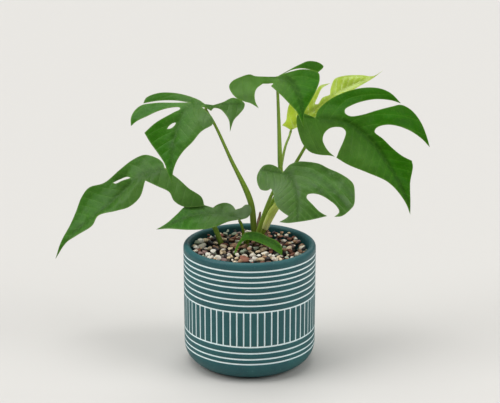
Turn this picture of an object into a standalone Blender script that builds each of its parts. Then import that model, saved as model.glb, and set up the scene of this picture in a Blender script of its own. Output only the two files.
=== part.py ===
"""Potted mini monstera: a glazed pot of soil topped with gravel, and one plant with eight leaves.

The pot stands on Z = 0 with its axis on the Z axis, and its front faces -Y. Every plant
height is measured from the gravel surface, so the plant follows the pot when the pot changes.
"""
import math

import bmesh
import bpy
import numpy as np
from mathutils import Vector
from mathutils.geometry import delaunay_2d_cdt

MM = 0.001

# Pot
POT_RADIUS = 0.067
POT_HEIGHT = 0.126
POT_WALL = 0.007
POT_FLOOR = 0.010
POT_FOOT_ROUNDING = 0.022
POT_CORNER_INSIDE = 0.012
POT_SEGMENTS = 64

# Filling
HEADSPACE = 0.0065
GRAVEL_DEPTH = 0.013
GRAVEL_BUMP = 0.0011
FIT_GAP = 0.0003

# Plant
BLADE_THICKNESS = 0.0007
BLADE_EDGE_STEP = 4.5
BLADE_GRID_STEP = 8.0
STEM_RADIUS = 0.0050
CROWN_RADIUS = 0.0074
SHEATH_THICKNESS = 0.0005
TUBE_SIDES = 8
TUBE_STEP = 0.007

GRAVEL_TOP = POT_HEIGHT - HEADSPACE
SOIL_TOP = GRAVEL_TOP - GRAVEL_DEPTH

# A blade is drawn on a sketch plane that leans back from upright by this angle.
SKETCH_LEAN = math.radians(16.7)
SKETCH_RIGHT = Vector((1, 0, 0))
SKETCH_UP = Vector((0, math.sin(SKETCH_LEAN), math.cos(SKETCH_LEAN)))
SKETCH_FRONT = Vector((0, -math.cos(SKETCH_LEAN), math.sin(SKETCH_LEAN)))

COLOURS = {
    "pot": ((0.028, 0.117, 0.138), 0.55),
    "potting_soil": ((0.030, 0.018, 0.011), 0.95),
    "gravel": ((0.300, 0.240, 0.200), 0.80),
    "stem": ((0.110, 0.200, 0.040), 0.60),
    "petiole": ((0.130, 0.250, 0.035), 0.45),
    "blade": ((0.040, 0.150, 0.015), 0.38),
    "young": ((0.280, 0.480, 0.070), 0.32),
    "sheath": ((0.420, 0.520, 0.130), 0.45),
    "dried": ((0.200, 0.080, 0.030), 0.85),
}


# ---------------------------------------------------------------- shared tools

def clear_scene():
    for obj in list(bpy.data.objects):
        bpy.data.objects.remove(obj, do_unlink=True)


def give_material(obj, finish):
    colour, roughness = COLOURS[finish]
    material = bpy.data.materials.new(obj.name)
    material.use_nodes = True
    shader = material.node_tree.nodes["Principled BSDF"]
    shader.inputs["Base Color"].default_value = (*colour, 1.0)
    shader.inputs["Roughness"].default_value = roughness
    shader.inputs["Metallic"].default_value = 0.0
    obj.data.materials.append(material)


def add_object(name, mesh_builder, finish=None):
    """Turn a bmesh into an object of the scene, with its faces pointing out."""
    bmesh.ops.recalc_face_normals(mesh_builder, faces=mesh_builder.faces)
    mesh = bpy.data.meshes.new(name)
    mesh_builder.to_mesh(mesh)
    mesh_builder.free()
    mesh.shade_smooth()
    obj = bpy.data.objects.new(name, mesh)
    bpy.context.scene.collection.objects.link(obj)
    if finish:
        give_material(obj, finish)
    return obj


def make_cutter(obj):
    obj.hide_render = True
    obj.display_type = "WIRE"
    return obj


def combine(obj, other, operation):
    modifier = obj.modifiers.new(operation.lower() + "_" + other.name, "BOOLEAN")
    modifier.operation = operation
    modifier.solver = "EXACT"
    modifier.object = other


def cut(obj, cutter):
    combine(obj, cutter, "DIFFERENCE")


def smooth_curve(points, step):
    """Points along a smooth curve through the given points, about one step apart."""
    knots = [np.array(point, dtype=float) for point in points]
    if len(knots) == 2:
        before, after = 2 * knots[0] - knots[1], 2 * knots[1] - knots[0]
    else:
        before = 2 * knots[0] - knots[1]
        after = 2 * knots[-1] - knots[-2]
    padded = [before, *knots, after]
    curve = [knots[0]]
    for p0, p1, p2, p3 in zip(padded, padded[1:], padded[2:], padded[3:]):
        pieces = max(1, round(float(np.linalg.norm(p2 - p1)) / step))
        reach = [max(float(np.linalg.norm(b - a)), 1e-9) ** 0.5 for a, b in ((p0, p1), (p1, p2), (p2, p3))]
        start = ((p1 - p0) / reach[0] - (p2 - p0) / (reach[0] + reach[1]) + (p2 - p1) / reach[1]) * reach[1]
        end = ((p2 - p1) / reach[1] - (p3 - p1) / (reach[1] + reach[2]) + (p3 - p2) / reach[2]) * reach[1]
        for i in range(1, pieces + 1):
            t = i / pieces
            curve.append((2 * t**3 - 3 * t**2 + 1) * p1 + (t**3 - 2 * t**2 + t) * start
                         + (3 * t**2 - 2 * t**3) * p2 + (t**3 - t**2) * end)
    return curve


def above_gravel(points):
    """Hand-set points (x, y, height above the gravel) in millimetres, as places in the scene."""
    return [Vector((x * MM, y * MM, GRAVEL_TOP + height * MM)) for x, y, height in points]


def sweep(name, route, radii, finish=None, flatten=1.0, sides=TUBE_SIDES):
    """A closed tube along a smooth route whose radius runs smoothly through the given radii."""
    centres = [Vector(point) for point in smooth_curve(route, TUBE_STEP)]
    travelled = [0.0]
    for here, there in zip(centres, centres[1:]):
        travelled.append(travelled[-1] + (there - here).length)
    shares = np.array(travelled) / travelled[-1]
    widths = np.interp(shares, np.linspace(0, 1, len(radii)), radii)
    builder = bmesh.new()
    side = Vector((1, 0, 0))
    rings = []
    for i, centre in enumerate(centres):
        ahead = centres[min(i + 1, len(centres) - 1)]
        behind = centres[max(i - 1, 0)]
        along = (ahead - behind).normalized()
        side = (side - along * side.dot(along)).normalized()
        across = along.cross(side)
        ring = []
        for k in range(sides):
            angle = 2 * math.pi * k / sides
            offset = side * math.cos(angle) + across * math.sin(angle) * flatten
            ring.append(builder.verts.new(centre + offset * float(widths[i])))
        rings.append(ring)
    for lower, upper in zip(rings, rings[1:]):
        for k in range(sides):
            following = (k + 1) % sides
            builder.faces.new((lower[k], lower[following], upper[following], upper[k]))
    builder.faces.new(rings[0])
    builder.faces.new(rings[-1])
    return add_object(name, builder, finish)


def arc(centre_x, centre_z, radius, start, end, pieces):
    """Profile points on an arc, from one angle to another in degrees."""
    return [(centre_x + radius * math.cos(math.radians(start + (end - start) * i / pieces)),
             centre_z + radius * math.sin(math.radians(start + (end - start) * i / pieces)))
            for i in range(pieces + 1)]


def turned(name, profile, finish):
    """A body turned about the Z axis from a profile that starts and ends on the axis."""
    builder = bmesh.new()
    verts = [builder.verts.new((x, 0, z)) for x, z in profile]
    edges = [builder.edges.new(pair) for pair in zip(verts, verts[1:])]
    bmesh.ops.spin(builder, geom=verts + edges, cent=(0, 0, 0), axis=(0, 0, 1),
                   angle=2 * math.pi, steps=POT_SEGMENTS)
    bmesh.ops.remove_doubles(builder, verts=builder.verts, dist=1e-6)
    return add_object(name, builder, finish)


# ---------------------------------------------------------------- pot and filling

def pot_profile():
    """From the middle of the underside, up the outside, over the rim and down to the floor."""
    rim = POT_WALL / 2
    inside = POT_RADIUS - POT_WALL
    foot = POT_RADIUS - POT_FOOT_ROUNDING
    corner = inside - POT_CORNER_INSIDE
    return ([(0, 0)]
            + arc(foot, POT_FOOT_ROUNDING, POT_FOOT_ROUNDING, -90, 0, 6)
            + arc(POT_RADIUS - rim, POT_HEIGHT - rim, rim, 0, 180, 6)
            + arc(corner, POT_FLOOR + POT_CORNER_INSIDE, POT_CORNER_INSIDE, 0, -90, 3)
            + [(0, POT_FLOOR)])


def build_pot():
    turned("pot", pot_profile(), "pot")


def soil_profile():
    inside = POT_RADIUS - POT_WALL - FIT_GAP
    rounding = POT_CORNER_INSIDE - FIT_GAP
    bottom = POT_FLOOR + FIT_GAP
    return ([(0, bottom)]
            + arc(inside - rounding, bottom + rounding, rounding, -90, 0, 3)
            + [(inside, SOIL_TOP), (0, SOIL_TOP)])


def build_soil(bed_clearance):
    soil = turned("potting_soil", soil_profile(), "potting_soil")
    cut(soil, bed_clearance)


def build_gravel(bed_clearance):
    """One body with a flat bed and a knobbly top, because the stones lie packed together."""
    rings = 8
    inside = POT_RADIUS - POT_WALL - FIT_GAP
    bed = SOIL_TOP + FIT_GAP
    chance = np.random.default_rng(4)
    builder = bmesh.new()
    centre = builder.verts.new((0, 0, GRAVEL_TOP))
    rows = []
    for ring in range(1, rings + 1):
        radius = inside * ring / rings
        row = []
        for k in range(POT_SEGMENTS):
            angle = 2 * math.pi * k / POT_SEGMENTS
            bump = float(chance.uniform(-1, 1)) * GRAVEL_BUMP
            row.append(builder.verts.new((radius * math.cos(angle), radius * math.sin(angle), GRAVEL_TOP + bump)))
        rows.append(row)
    floor_row = [builder.verts.new((vert.co.x, vert.co.y, bed)) for vert in rows[-1]]
    for k in range(POT_SEGMENTS):
        following = (k + 1) % POT_SEGMENTS
        builder.faces.new((centre, rows[0][k], rows[0][following]))
        for inner, outer in zip(rows, rows[1:]):
            builder.faces.new((inner[k], outer[k], outer[following], inner[following]))
        builder.faces.new((rows[-1][k], floor_row[k], floor_row[following], rows[-1][following]))
    builder.faces.new(floor_row)
    gravel = add_object("gravel", builder, "gravel")
    cut(gravel, bed_clearance)


# ---------------------------------------------------------------- stem, stalks and sheaths

STEM_ROUTE = [(-35, 18, -22), (-20, 18, -22), (-6, 18, -21), (4, 19, -15), (9, 19, -5), (9, 19, 3), (9, 19, 9)]


def build_stem():
    """The creeping stem lies in the soil and turns up into the crown. Returns its clearance."""
    radii = [STEM_RADIUS * 0.8, STEM_RADIUS, STEM_RADIUS * 1.05, STEM_RADIUS * 1.1, CROWN_RADIUS * 0.9,
             CROWN_RADIUS, CROWN_RADIUS * 0.8]
    route = above_gravel(STEM_ROUTE)
    sweep("stem", route, radii, "stem", sides=12)
    start_way = (route[0] - route[1]).normalized() * FIT_GAP
    end_way = (route[-1] - route[-2]).normalized() * FIT_GAP
    longer = [route[0] + start_way, *route[1:-1], route[-1] + end_way]
    return make_cutter(sweep("stem_clearance", longer, [radius + FIT_GAP for radius in radii], sides=12))


# Stalks: route from inside what carries it to just under its blade, and radii along it in mm.
STALKS = {
    "far_left": {
        "route": [(-24, 18, -22), (-26, 18, -10), (-29.5, 18, 0), (-36.5, 25, 15), (-50, 38, 33.5), (-71, 47, 54.5)],
        "radii": [2.4, 2.4, 2.2, 1.9, 1.6, 1.5]},
    "mid_left": {
        "route": [(7, 20, 3), (4.6, 21.8, 13), (0.8, 21.5, 43), (-19.0, 20, 88), (-35.5, 20, 125)],
        "radii": [2.6, 2.6, 2.5, 2.0, 1.5, 1.4]},
    "low_left": {
        "route": [(-7, 18, -21), (-7, 17, -6), (-6.5, 15.5, 6), (-7, 14, 15), (-9, 12.5, 23)],
        "radii": [1.8, 1.8, 1.6, 1.4, 1.3]},
    "small": {
        "route": [(0.5, 17.6, -17), (-1.2, 13.5, -6), (-2.5, 12, 4)],
        "radii": [2.4, 2.4, 2.2, 1.6]},
    "front": {
        "route": [(9, 17, 2), (8.5, 13, 11), (15.5, 9, 36), (22.5, 5, 56)],
        "radii": [2.3, 2.3, 2.0, 1.7, 1.5]},
    "top": {
        "route": [(10, 19, 2), (14, 18, 12), (22.5, 18.5, 33), (28.6, 19, 46), (31.2, 19, 67), (30.4, 17, 90),
                  (28.7, 13, 136), (27.7, 11, 158)],
        "radii": [2.2, 2.2, 2.1, 2.0, 1.9, 1.7, 1.5, 1.4]},
    "young": {
        "route": [(31.3, 18.5, 75), (32.8, 23, 85), (36.5, 31, 99.5), (40, 38, 106.5)],
        "radii": [1.4, 1.4, 1.3, 1.2, 1.1]},
    "right": {
        "route": [(11, 21, 2), (12.5, 26, 12), (20.5, 29.5, 34), (35.5, 32, 60), (49.3, 32, 85),
                  (57.4, 32, 100), (63.5, 32, 114)],
        "radii": [2.4, 2.4, 2.2, 2.0, 1.8, 1.6, 1.5]},
}
BURIED = ("far_left", "low_left", "small")


def build_stalk(leaf, base, facing, carrier_clearance):
    """A stalk ends square to its blade, one gap behind it. Returns its own clearance."""
    end = base - facing * (BLADE_THICKNESS / 2 + 1.7 * FIT_GAP)
    approach = end - facing * 4 * MM
    route = above_gravel(STALKS[leaf]["route"]) + [approach, end]
    radii = [radius * MM for radius in STALKS[leaf]["radii"]]
    stalk = sweep("petiole_" + leaf, route, radii, "petiole")
    cut(stalk, carrier_clearance)
    return make_cutter(sweep("clearance_" + leaf, route, [radius + FIT_GAP for radius in radii]))


# The sheath follows the top leaf's stalk, wide at its middle and narrowing to its upper end.
SHEATH_ROUTE = [(15.2, 17.9, 15), (18.6, 18.2, 23.5), (22.5, 18.5, 33), (26.4, 18.8, 41), (28.6, 19, 46)]
SHEATH_INSIDE = (0.0026, 0.0042)
SHEATH_HALF_TURN = (130, 60)
SHEATH_FACES = -35
SHEATH_ACROSS = 9


def build_leaf_sheath():
    """A thin pale wing, open at the back, that wraps the foot of the top leaf's stalk."""
    spine = [Vector(point) for point in smooth_curve(above_gravel(SHEATH_ROUTE), TUBE_STEP)]
    builder = bmesh.new()
    rows = []
    for i, centre in enumerate(spine):
        share = i / (len(spine) - 1)
        along = (spine[min(i + 1, len(spine) - 1)] - spine[max(i - 1, 0)]).normalized()
        right = (Vector((1, 0, 0)) - along * along.x).normalized()
        back = along.cross(right)
        inner = SHEATH_INSIDE[0] + (SHEATH_INSIDE[1] - SHEATH_INSIDE[0]) * share
        half_turn = SHEATH_HALF_TURN[0] + (SHEATH_HALF_TURN[1] - SHEATH_HALF_TURN[0]) * share**2
        row_in, row_out = [], []
        for k in range(SHEATH_ACROSS):
            angle = math.radians(SHEATH_FACES + half_turn * (2 * k / (SHEATH_ACROSS - 1) - 1))
            way = right * math.cos(angle) + back * math.sin(angle)
            row_in.append(builder.verts.new(centre + way * inner))
            row_out.append(builder.verts.new(centre + way * (inner + SHEATH_THICKNESS)))
        rows.append(row_in + row_out[::-1])
    count = len(rows[0])
    for lower, upper in zip(rows, rows[1:]):
        for k in range(count):
            following = (k + 1) % count
            builder.faces.new((lower[k], lower[following], upper[following], upper[k]))
    for row in (rows[0], rows[-1]):
        for k in range(SHEATH_ACROSS - 1):
            builder.faces.new((row[k], row[k + 1], row[count - 2 - k], row[count - 1 - k]))
    add_object("leaf_sheath", builder, "sheath")


DRIED_SHEATHS = {
    "dried_sheath_tall": {"route": [(9, 19, 4), (9.3, 18.8, 14), (9.6, 19.0, 24), (10.6, 19.2, 33)],
                          "radii": [1.3, 1.4, 1.0, 0.4]},
    "dried_sheath_short": {"route": [(12, 20, 4), (15.4, 22.2, 10), (16.6, 22.6, 16)],
                           "radii": [1.2, 1.1, 0.5]},
}


def build_dried_sheaths(stem_clearance):
    for name, shape in DRIED_SHEATHS.items():
        radii = [radius * MM for radius in shape["radii"]]
        scale = sweep(name, above_gravel(shape["route"]), radii, "dried", flatten=0.35, sides=6)
        cut(scale, stem_clearance)


# ---------------------------------------------------------------- leaf blades

# Each blade is drawn in millimetres from the top of its stalk: (right, up, forward of the sketch
# plane). Its edge is a ring of smooth stretches that meet at corners; the midrib runs base to tip.
BLADES = {
    "far_left": {
        "base": (-87, 45, 71),
        "edge": [
            [(0, 0, 0), (-3, 7, -4), (-10, 12, -9), (-22, 15, -12), (-34, 10, -11), (-48, -1, -8), (-63, -14, -5),
             (-79, -19, -6), (-87, -29, -8), (-93, -45, -6), (-98, -57, -4), (-108, -76, -4), (-114, -93, -8)],
            [(-114, -93, -8), (-102, -76, 0), (-90, -68, 6), (-74, -58, 10), (-68, -48, 11), (-49, -43, 14),
             (-36, -39, 14), (-25, -29, 12), (-20, -12, 7)],
            [(-20, -12, 7), (-7, -18, 9), (5, -24, 12), (10, -33, 14), (21, -39, 15), (41, -38, 13)],
            [(41, -38, 13), (38, -29, 11), (25, -20, 9), (15, -11, 6), (3, -2, 1)]],
        "holes": [[(-54, -14, 0), (-48, -11, 0), (-40, -8, 0), (-36, -9, 0), (-44, -12, 0), (-51, -15, 0)]],
        "midrib": [(-4, -1, 0), (-15, -4, 1), (-27, -9, 2), (-42, -22, 3), (-59, -39, 3), (-77, -52, 0),
                   (-97, -69, -3), (-108, -84, -6)]},
    "mid_left": {
        "base": (-43.4, 20, 142.9),
        "edge": [
            [(-1, 2, -1), (-8, 7, -10), (-20, 12, -20), (-33, 15, -26), (-49, 15, -27), (-61, 10, -22), (-64, 4, -17)],
            [(-64, 4, -17), (-48, 7, -20), (-31, 7, -18), (-16, 4, -9)],
            [(-16, 4, -9), (-31, 4, -13), (-50, 4, -16), (-64, 2, -14), (-71, -3, -9), (-75, -11, -4), (-75, -20, -2)],
            [(-75, -20, -2), (-69, -15, 0), (-59, -10, 1), (-46, -4, 0), (-34, -1, -2), (-27, -1, -2), (-26, -3, 0),
             (-33, -7, 3), (-50, -17, 5), (-61, -27, 6)],
            [(-61, -27, 6), (-55, -37, 7), (-47, -48, 9), (-41, -57, 11), (-37, -68, 13), (-33, -78, 13)],
            [(-33, -78, 13), (-32, -66, 16), (-28, -55, 18), (-22, -46, 19), (-13, -37, 18), (-4, -26, 15),
             (6, -20, 12)],
            [(6, -20, 12), (8, -16, 10), (6, -11, 8), (1, -6, 4), (-4, -1, 1)],
            [(-4, -1, 1), (0, -2, 1), (5, -5, 3)],
            [(5, -5, 3), (8, -2, 1), (14, -3, 1), (19, -8, 3), (23, -15, 6), (24, -26, 8)],
            [(24, -26, 8), (28, -14, 2), (33, -8, -2), (38, -1, -7), (38, 4, -10), (27, 9, -12), (16, 4, -8), (7, 1, -4)]],
        "holes": [[(-39, -23, 0), (-37, -19, 0), (-31, -16, 0), (-29, -17, 0), (-31, -21, 0), (-36, -24, 0)]],
        "midrib": [(-4, 2, -2), (-15, 1, -3), (-24, -9, 1), (-29, -24, 5), (-33, -43, 9), (-34, -60, 12),
                   (-33, -72, 13)]},
    "top": {
        "base": (25.9, 8, 173.7),
        "edge": [
            [(1, 1, 0), (12, 8, -8), (24, 15, -17), (33, 19, -24), (43, 18, -28), (48, 14, -27), (43, 8, -21)],
            [(43, 8, -21), (34, 10.5, -20), (25, 11, -15), (15, 8.5, -8), (7, 4, -2)],
            [(7, 4, -2), (15, 6, 2), (25, 8, 5), (34, 7, 9), (41, 4, 13), (42, -3, 17), (38, -15, 22), (32, -26, 27),
             (27, -35, 31), (26, -43, 34), (26, -52, 37)],
            [(26, -52, 37), (23, -44, 36), (19, -35, 33), (12, -27, 29), (4, -18, 22), (-5, -9, 14)],
            [(-5, -9, 14), (-3, -6, 9), (-8, -6, 7), (-13, -6, 6)],
            [(-13, -6, 6), (-19, -11, 10), (-21, -18, 14), (-20, -25, 17), (-17, -31, 20)],
            [(-17, -31, 20), (-25, -26, 16), (-31, -24, 13), (-39, -20, 9), (-44, -14, 5), (-46, -8, 1), (-43, -3, -3),
             (-36, 1, -6), (-26, 4, -6), (-20, 2, -3), (-8, 1, -1)]],
        "holes": [],
        "midrib": [(3, 0, 2), (8, -1, 6), (16, -7, 12), (21, -18, 21), (25, -34, 30), (26, -46, 35)]},
    "young": {
        "base": (42.2, 45, 112.2),
        "edge": [
            [(0, 0, 0), (-5, 3, 0), (-9, 5, -2)],
            [(-9, 5, -2), (-5, 10, -3), (-4, 17, -4), (-2, 26, -5), (3, 33, -6), (9, 38, -8)],
            [(9, 38, -8), (17, 33, -6), (23, 36, -8), (30, 46, -10), (41, 49, -14)],
            [(41, 49, -14), (32, 43, -9), (28, 35, -7), (25, 27, -6), (28, 27, -6)],
            [(28, 27, -6), (33, 34, -9), (40, 37, -11), (41, 42, -13), (43, 49, -16), (46, 54, -19), (54, 57, -22),
             (64, 58, -23), (74, 58, -23), (86, 57, -21), (96, 63, -21)],
            [(96, 63, -21), (86, 55, -18), (71, 46, -14), (58, 38, -11), (45, 30, -9), (32, 18, -6), (19, 10, -3),
             (7, 3, -1)]],
        "holes": [],
        "midrib": [(3, 3, -1), (15, 14, -4), (30, 25, -7), (45, 37, -12), (60, 46, -17), (78, 53, -20)]},
    "right": {
        "base": (66.3, 30, 128.1),
        "edge": [
            [(0, 0, 0), (2, 7, -4), (9, 15, -8), (21, 23, -11), (36, 29, -13), (52, 32, -14), (67, 31, -15),
             (78, 26, -16), (88, 16, -16)],
            [(88, 16, -16), (78, 19, -13), (62, 20, -10), (46, 17, -7), (36, 13, -4), (30, 9, -1), (30, 5, 0),
             (35, 2, 1), (45, 3, 1), (62, 8, -1), (77, 12, -4), (87, 14, -7), (97, 9, -8), (106, -2, -8),
             (112, -16, -7), (116, -29, -7)],
            [(116, -29, -7), (108, -21, -2), (96, -13, 2), (82, -8, 5), (70, -7, 6), (61, -10, 7), (59, -14, 8),
             (67, -21, 9), (76, -30, 10), (86, -38, 10), (96, -43, 8)],
            [(96, -43, 8), (97, -49, 9), (94, -65, 12), (94, -85, 13), (94, -97, 11)],
            [(94, -97, 11), (90, -87, 16), (81, -74, 19), (70, -64, 21), (50, -55, 20), (31, -48, 17), (21, -42, 14)],
            [(21, -42, 14), (23, -33, 13), (28, -22, 10), (30, -14, 7), (27, -10, 5), (22, -9, 4), (15, -10, 3),
             (9, -15, 4), (7, -22, 6), (9, -28, 8), (13, -34, 10), (18, -39, 12)],
            [(18, -39, 12), (14, -38, 11), (3, -37, 9), (-6, -34, 7), (-13, -26, 4), (-17, -15, 1), (-19, -4, -1),
             (-18, 3, -2), (-12, 5, -3), (-6, 3, -2)]],
        "holes": [],
        "midrib": [(4, 0, 0), (19, -2, 1), (32, -5, 2), (46, -14, 3), (62, -31, 7), (72, -47, 11), (83, -66, 14),
                   (91, -83, 13)]},
    "front": {
        "base": (33.1, -5, 81.1),
        "edge": [
            [(0, 0, 0), (-5, 5, -1), (-12, 8, -1), (-19, 7, 0), (-24, 1, 2), (-26, -5, 4), (-25, -12, 6),
             (-22, -17, 8), (-16, -18, 9), (-12, -16, 9)],
            [(-12, -16, 9), (-10, -20, 10), (-9, -27, 12), (-6, -34, 13), (-1, -39, 13), (5, -43, 12)],
            [(5, -43, 12), (3, -45, 11), (-4, -49, 8)],
            [(-4, -49, 8), (4, -50, 12), (13, -49, 15), (26, -47, 17), (43, -43, 16)],
            [(43, -43, 16), (36, -39, 17), (29, -32, 16), (23, -25, 14), (24, -22, 13), (30, -21, 12), (38, -23, 11),
             (46, -28, 11), (52, -33, 11), (55, -39, 11), (50, -44, 12)],
            [(50, -44, 12), (58, -43, 11), (67, -36, 8), (70, -32, 7), (71, -22, 4), (70, -12, 1), (66, -7, -1),
             (57, -1, -4), (46, 4, -6), (36, 9, -8), (24, 11, -8), (15, 11, -6), (7, 8, -4), (3, 4, -2)]],
        "holes": [],
        "midrib": [(1, -1, 0), (5, -2, 1), (10, -8, 3), (13, -17, 6), (14, -27, 9), (14, -37, 12)]},
    "low_left": {
        "base": (-10.3, 10, 28.5),
        "edge": [
            [(0, -1, 0), (-11, -3, 5), (-21, -7, 12), (-32, -10, 17), (-51, -11, 19), (-71, -10, 14), (-84, -11, 6)],
            [(-84, -11, 6), (-74, -5, 2), (-64, 4, -4), (-56, 12, -9), (-47, 17, -13), (-37, 14, -12), (-27, 11, -10)],
            [(-27, 11, -10), (-23, 14, -13), (-16, 16, -16), (-10, 15, -15), (-6, 12, -11), (-4, 9, -7)],
            [(-4, 9, -7), (2, 11, -4), (6, 14, -3), (9, 14, -1), (12, 11, 1), (12, 6, 2), (8, 1, 2), (2, -1, 0)]],
        "holes": [],
        "midrib": [(-2, 1, -1), (-13, 4, -3), (-27, 5, -4), (-40, 4, -3), (-55, 0, 0), (-70, -6, 3)]},
    "small": {
        "base": (-3.7, 8, 14.2),
        "edge": [
            [(0, 0, 0), (6, 1, 1), (14, 0, 4), (22, -4, 10), (31, -8, 18), (36, -14, 25), (36, -22, 30)],
            [(36, -22, 30), (33, -17, 29), (28, -12, 25), (20, -8, 19), (12, -5, 13), (4, -4, 9)],
            [(4, -4, 9), (-2, -6, 10), (-6, -11, 16), (-9, -17, 22), (-12, -22, 27)],
            [(-12, -22, 27), (-10, -14, 21), (-6, -7, 12), (-3, -2, 3)]],
        "holes": [],
        "midrib": [(3, -1, 3), (12, -2, 8), (22, -6, 14), (31, -12, 23)]},
}
YOUNG = ("young",)


def ring_of(stretches, step):
    """The closed ring of edge points, with the corner between two stretches kept once."""
    ring = []
    for stretch in stretches:
        ring.extend(smooth_curve(stretch, step))
    kept = []
    for point in ring:
        if not kept or np.linalg.norm(point[:2] - kept[-1][:2]) > 0.2:
            kept.append(point)
    if np.linalg.norm(kept[0][:2] - kept[-1][:2]) <= 0.2:
        kept.pop()
    return kept


def inside_of(spots, rings):
    """Which spots lie inside an odd number of rings."""
    odd = np.zeros(len(spots), dtype=bool)
    for ring in rings:
        flat = np.array(ring)[:, :2]
        for start, end in zip(flat, np.roll(flat, -1, axis=0)):
            spans = (start[1] > spots[:, 1]) != (end[1] > spots[:, 1])
            rise = end[1] - start[1] if end[1] != start[1] else 1e-9
            crossing = start[0] + (spots[:, 1] - start[1]) * (end[0] - start[0]) / rise
            odd ^= spans & (spots[:, 0] < crossing)
    return odd


def distance_to(spots, points):
    return np.min(np.linalg.norm(spots[:, None, :] - points[None, :, :2], axis=2), axis=1)


def filled_blade(blade):
    """Flat triangles over the drawn blade: returns (points, known depth or nan, triangles)."""
    edge = ring_of(blade["edge"], BLADE_EDGE_STEP)
    holes = [ring_of([hole + hole[:1]], BLADE_EDGE_STEP / 2) for hole in blade["holes"]]
    midrib = smooth_curve(blade["midrib"], BLADE_GRID_STEP)
    rim = np.array([point for ring in (edge, *holes) for point in ring])
    low = rim[:, :2].min(axis=0)
    high = rim[:, :2].max(axis=0)
    grid = []
    row_height = BLADE_GRID_STEP * math.sqrt(3) / 2
    for row in range(int((high[1] - low[1]) / row_height) + 2):
        shift = BLADE_GRID_STEP / 2 * (row % 2)
        for column in range(int((high[0] - low[0]) / BLADE_GRID_STEP) + 2):
            grid.append((low[0] + column * BLADE_GRID_STEP + shift, low[1] + row * row_height))
    grid = np.array(grid)
    keep = inside_of(grid, (edge, *holes)) & (distance_to(grid, rim) > 0.5 * BLADE_GRID_STEP)
    keep &= distance_to(grid, np.array(midrib)) > 0.6 * BLADE_GRID_STEP
    spine = np.array([point for point in midrib if distance_to(np.array([point[:2]]), rim)[0] > 0.8])
    points = np.vstack([rim[:, :2], spine[:, :2], grid[keep]])
    depths = np.full(len(points), np.nan)
    depths[:len(edge)] = rim[:len(edge), 2]
    depths[len(rim):len(rim) + len(spine)] = spine[:, 2]
    edges = []
    first = 0
    for ring in (edge, *holes):
        edges.extend((first + i, first + (i + 1) % len(ring)) for i in range(len(ring)))
        first += len(ring)
    out_points, _, out_faces, _, _, _ = delaunay_2d_cdt(
        [Vector(point) for point in points], edges, [], 0, 1e-6)
    if len(out_points) != len(points):
        raise ValueError("a blade's edge crosses itself")
    centres = np.array([np.mean([points[i] for i in face], axis=0) for face in out_faces])
    odd = inside_of(centres, (edge, *holes))
    triangles = [face for face, inside in zip(out_faces, odd) if inside]
    used = sorted({i for face in triangles for i in face})
    place = {old: new for new, old in enumerate(used)}
    return points[used], depths[used], [[place[i] for i in face] for face in triangles]


def spread_depths(depths, triangles):
    """Fill the unknown depths so that the sheet bends as little as it can."""
    count = len(depths)
    joined = np.zeros((count, count))
    for a, b, c in triangles:
        for i, j in ((a, b), (b, c), (c, a)):
            joined[i, j] = joined[j, i] = 1.0
    bend = np.eye(count) - joined / joined.sum(axis=1, keepdims=True)
    known = ~np.isnan(depths)
    pull = np.where(known, 0.6, 0.0)
    return np.linalg.solve(bend.T @ bend + np.diag(pull), pull * np.where(known, depths, 0.0))


def sketch_place(base, point):
    right, up, forward = (float(value) * MM for value in point)
    return base + SKETCH_RIGHT * right + SKETCH_UP * up + SKETCH_FRONT * forward


def build_blade(leaf):
    """Returns where the stalk meets the blade and which way the blade faces there."""
    blade = BLADES[leaf]
    base = above_gravel([blade["base"]])[0]
    points, depths, triangles = filled_blade(blade)
    depths = spread_depths(depths, triangles)
    builder = bmesh.new()
    verts = [builder.verts.new(sketch_place(base, (x, y, depth))) for (x, y), depth in zip(points, depths)]
    for a, b, c in triangles:
        builder.faces.new((verts[a], verts[b], verts[c]))
    bmesh.ops.recalc_face_normals(builder, faces=builder.faces)
    builder.normal_update()
    if sum(face.normal.dot(SKETCH_FRONT) for face in builder.faces) < 0:
        bmesh.ops.reverse_faces(builder, faces=builder.faces)
        builder.normal_update()
    nearest = min(verts, key=lambda vert: (vert.co - base).length)
    facing = nearest.normal.copy()
    meeting = nearest.co.copy()
    mesh = bpy.data.meshes.new("blade_" + leaf)
    builder.to_mesh(mesh)
    builder.free()
    mesh.shade_smooth()
    obj = bpy.data.objects.new("blade_" + leaf, mesh)
    bpy.context.scene.collection.objects.link(obj)
    give_material(obj, "young" if leaf in YOUNG else "blade")
    thickness = obj.modifiers.new("thickness", "SOLIDIFY")
    thickness.thickness = BLADE_THICKNESS
    thickness.offset = 0.0
    return meeting, facing


# ---------------------------------------------------------------- assembly

def build_bed_clearance(stem_clearance, stalk_clearances):
    """The room that the buried stem and stalks need in the soil and the gravel, as one cutter."""
    room = make_cutter(bpy.data.objects.new("bed_clearance", stem_clearance.data.copy()))
    bpy.context.scene.collection.objects.link(room)
    for clearance in stalk_clearances:
        combine(room, clearance, "UNION")
    return room


def main():
    clear_scene()
    build_pot()
    stem_clearance = build_stem()
    build_leaf_sheath()
    build_dried_sheaths(stem_clearance)
    clearances = {}
    for leaf in STALKS:
        carrier = clearances["top"] if leaf == "young" else stem_clearance
        base, facing = build_blade(leaf)
        clearances[leaf] = build_stalk(leaf, base, facing, carrier)
    bed_clearance = build_bed_clearance(stem_clearance, [clearances[leaf] for leaf in BURIED])
    build_soil(bed_clearance)
    build_gravel(bed_clearance)


main()
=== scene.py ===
"""Looks of the potted mini monstera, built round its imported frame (metres, Z up, the front faces -Y)."""
import math

import bmesh
import bpy
import numpy as np
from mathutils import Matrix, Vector
from mathutils.bvhtree import BVHTree
from mathutils.geometry import delaunay_2d_cdt
from mathutils.noise import noise


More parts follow.
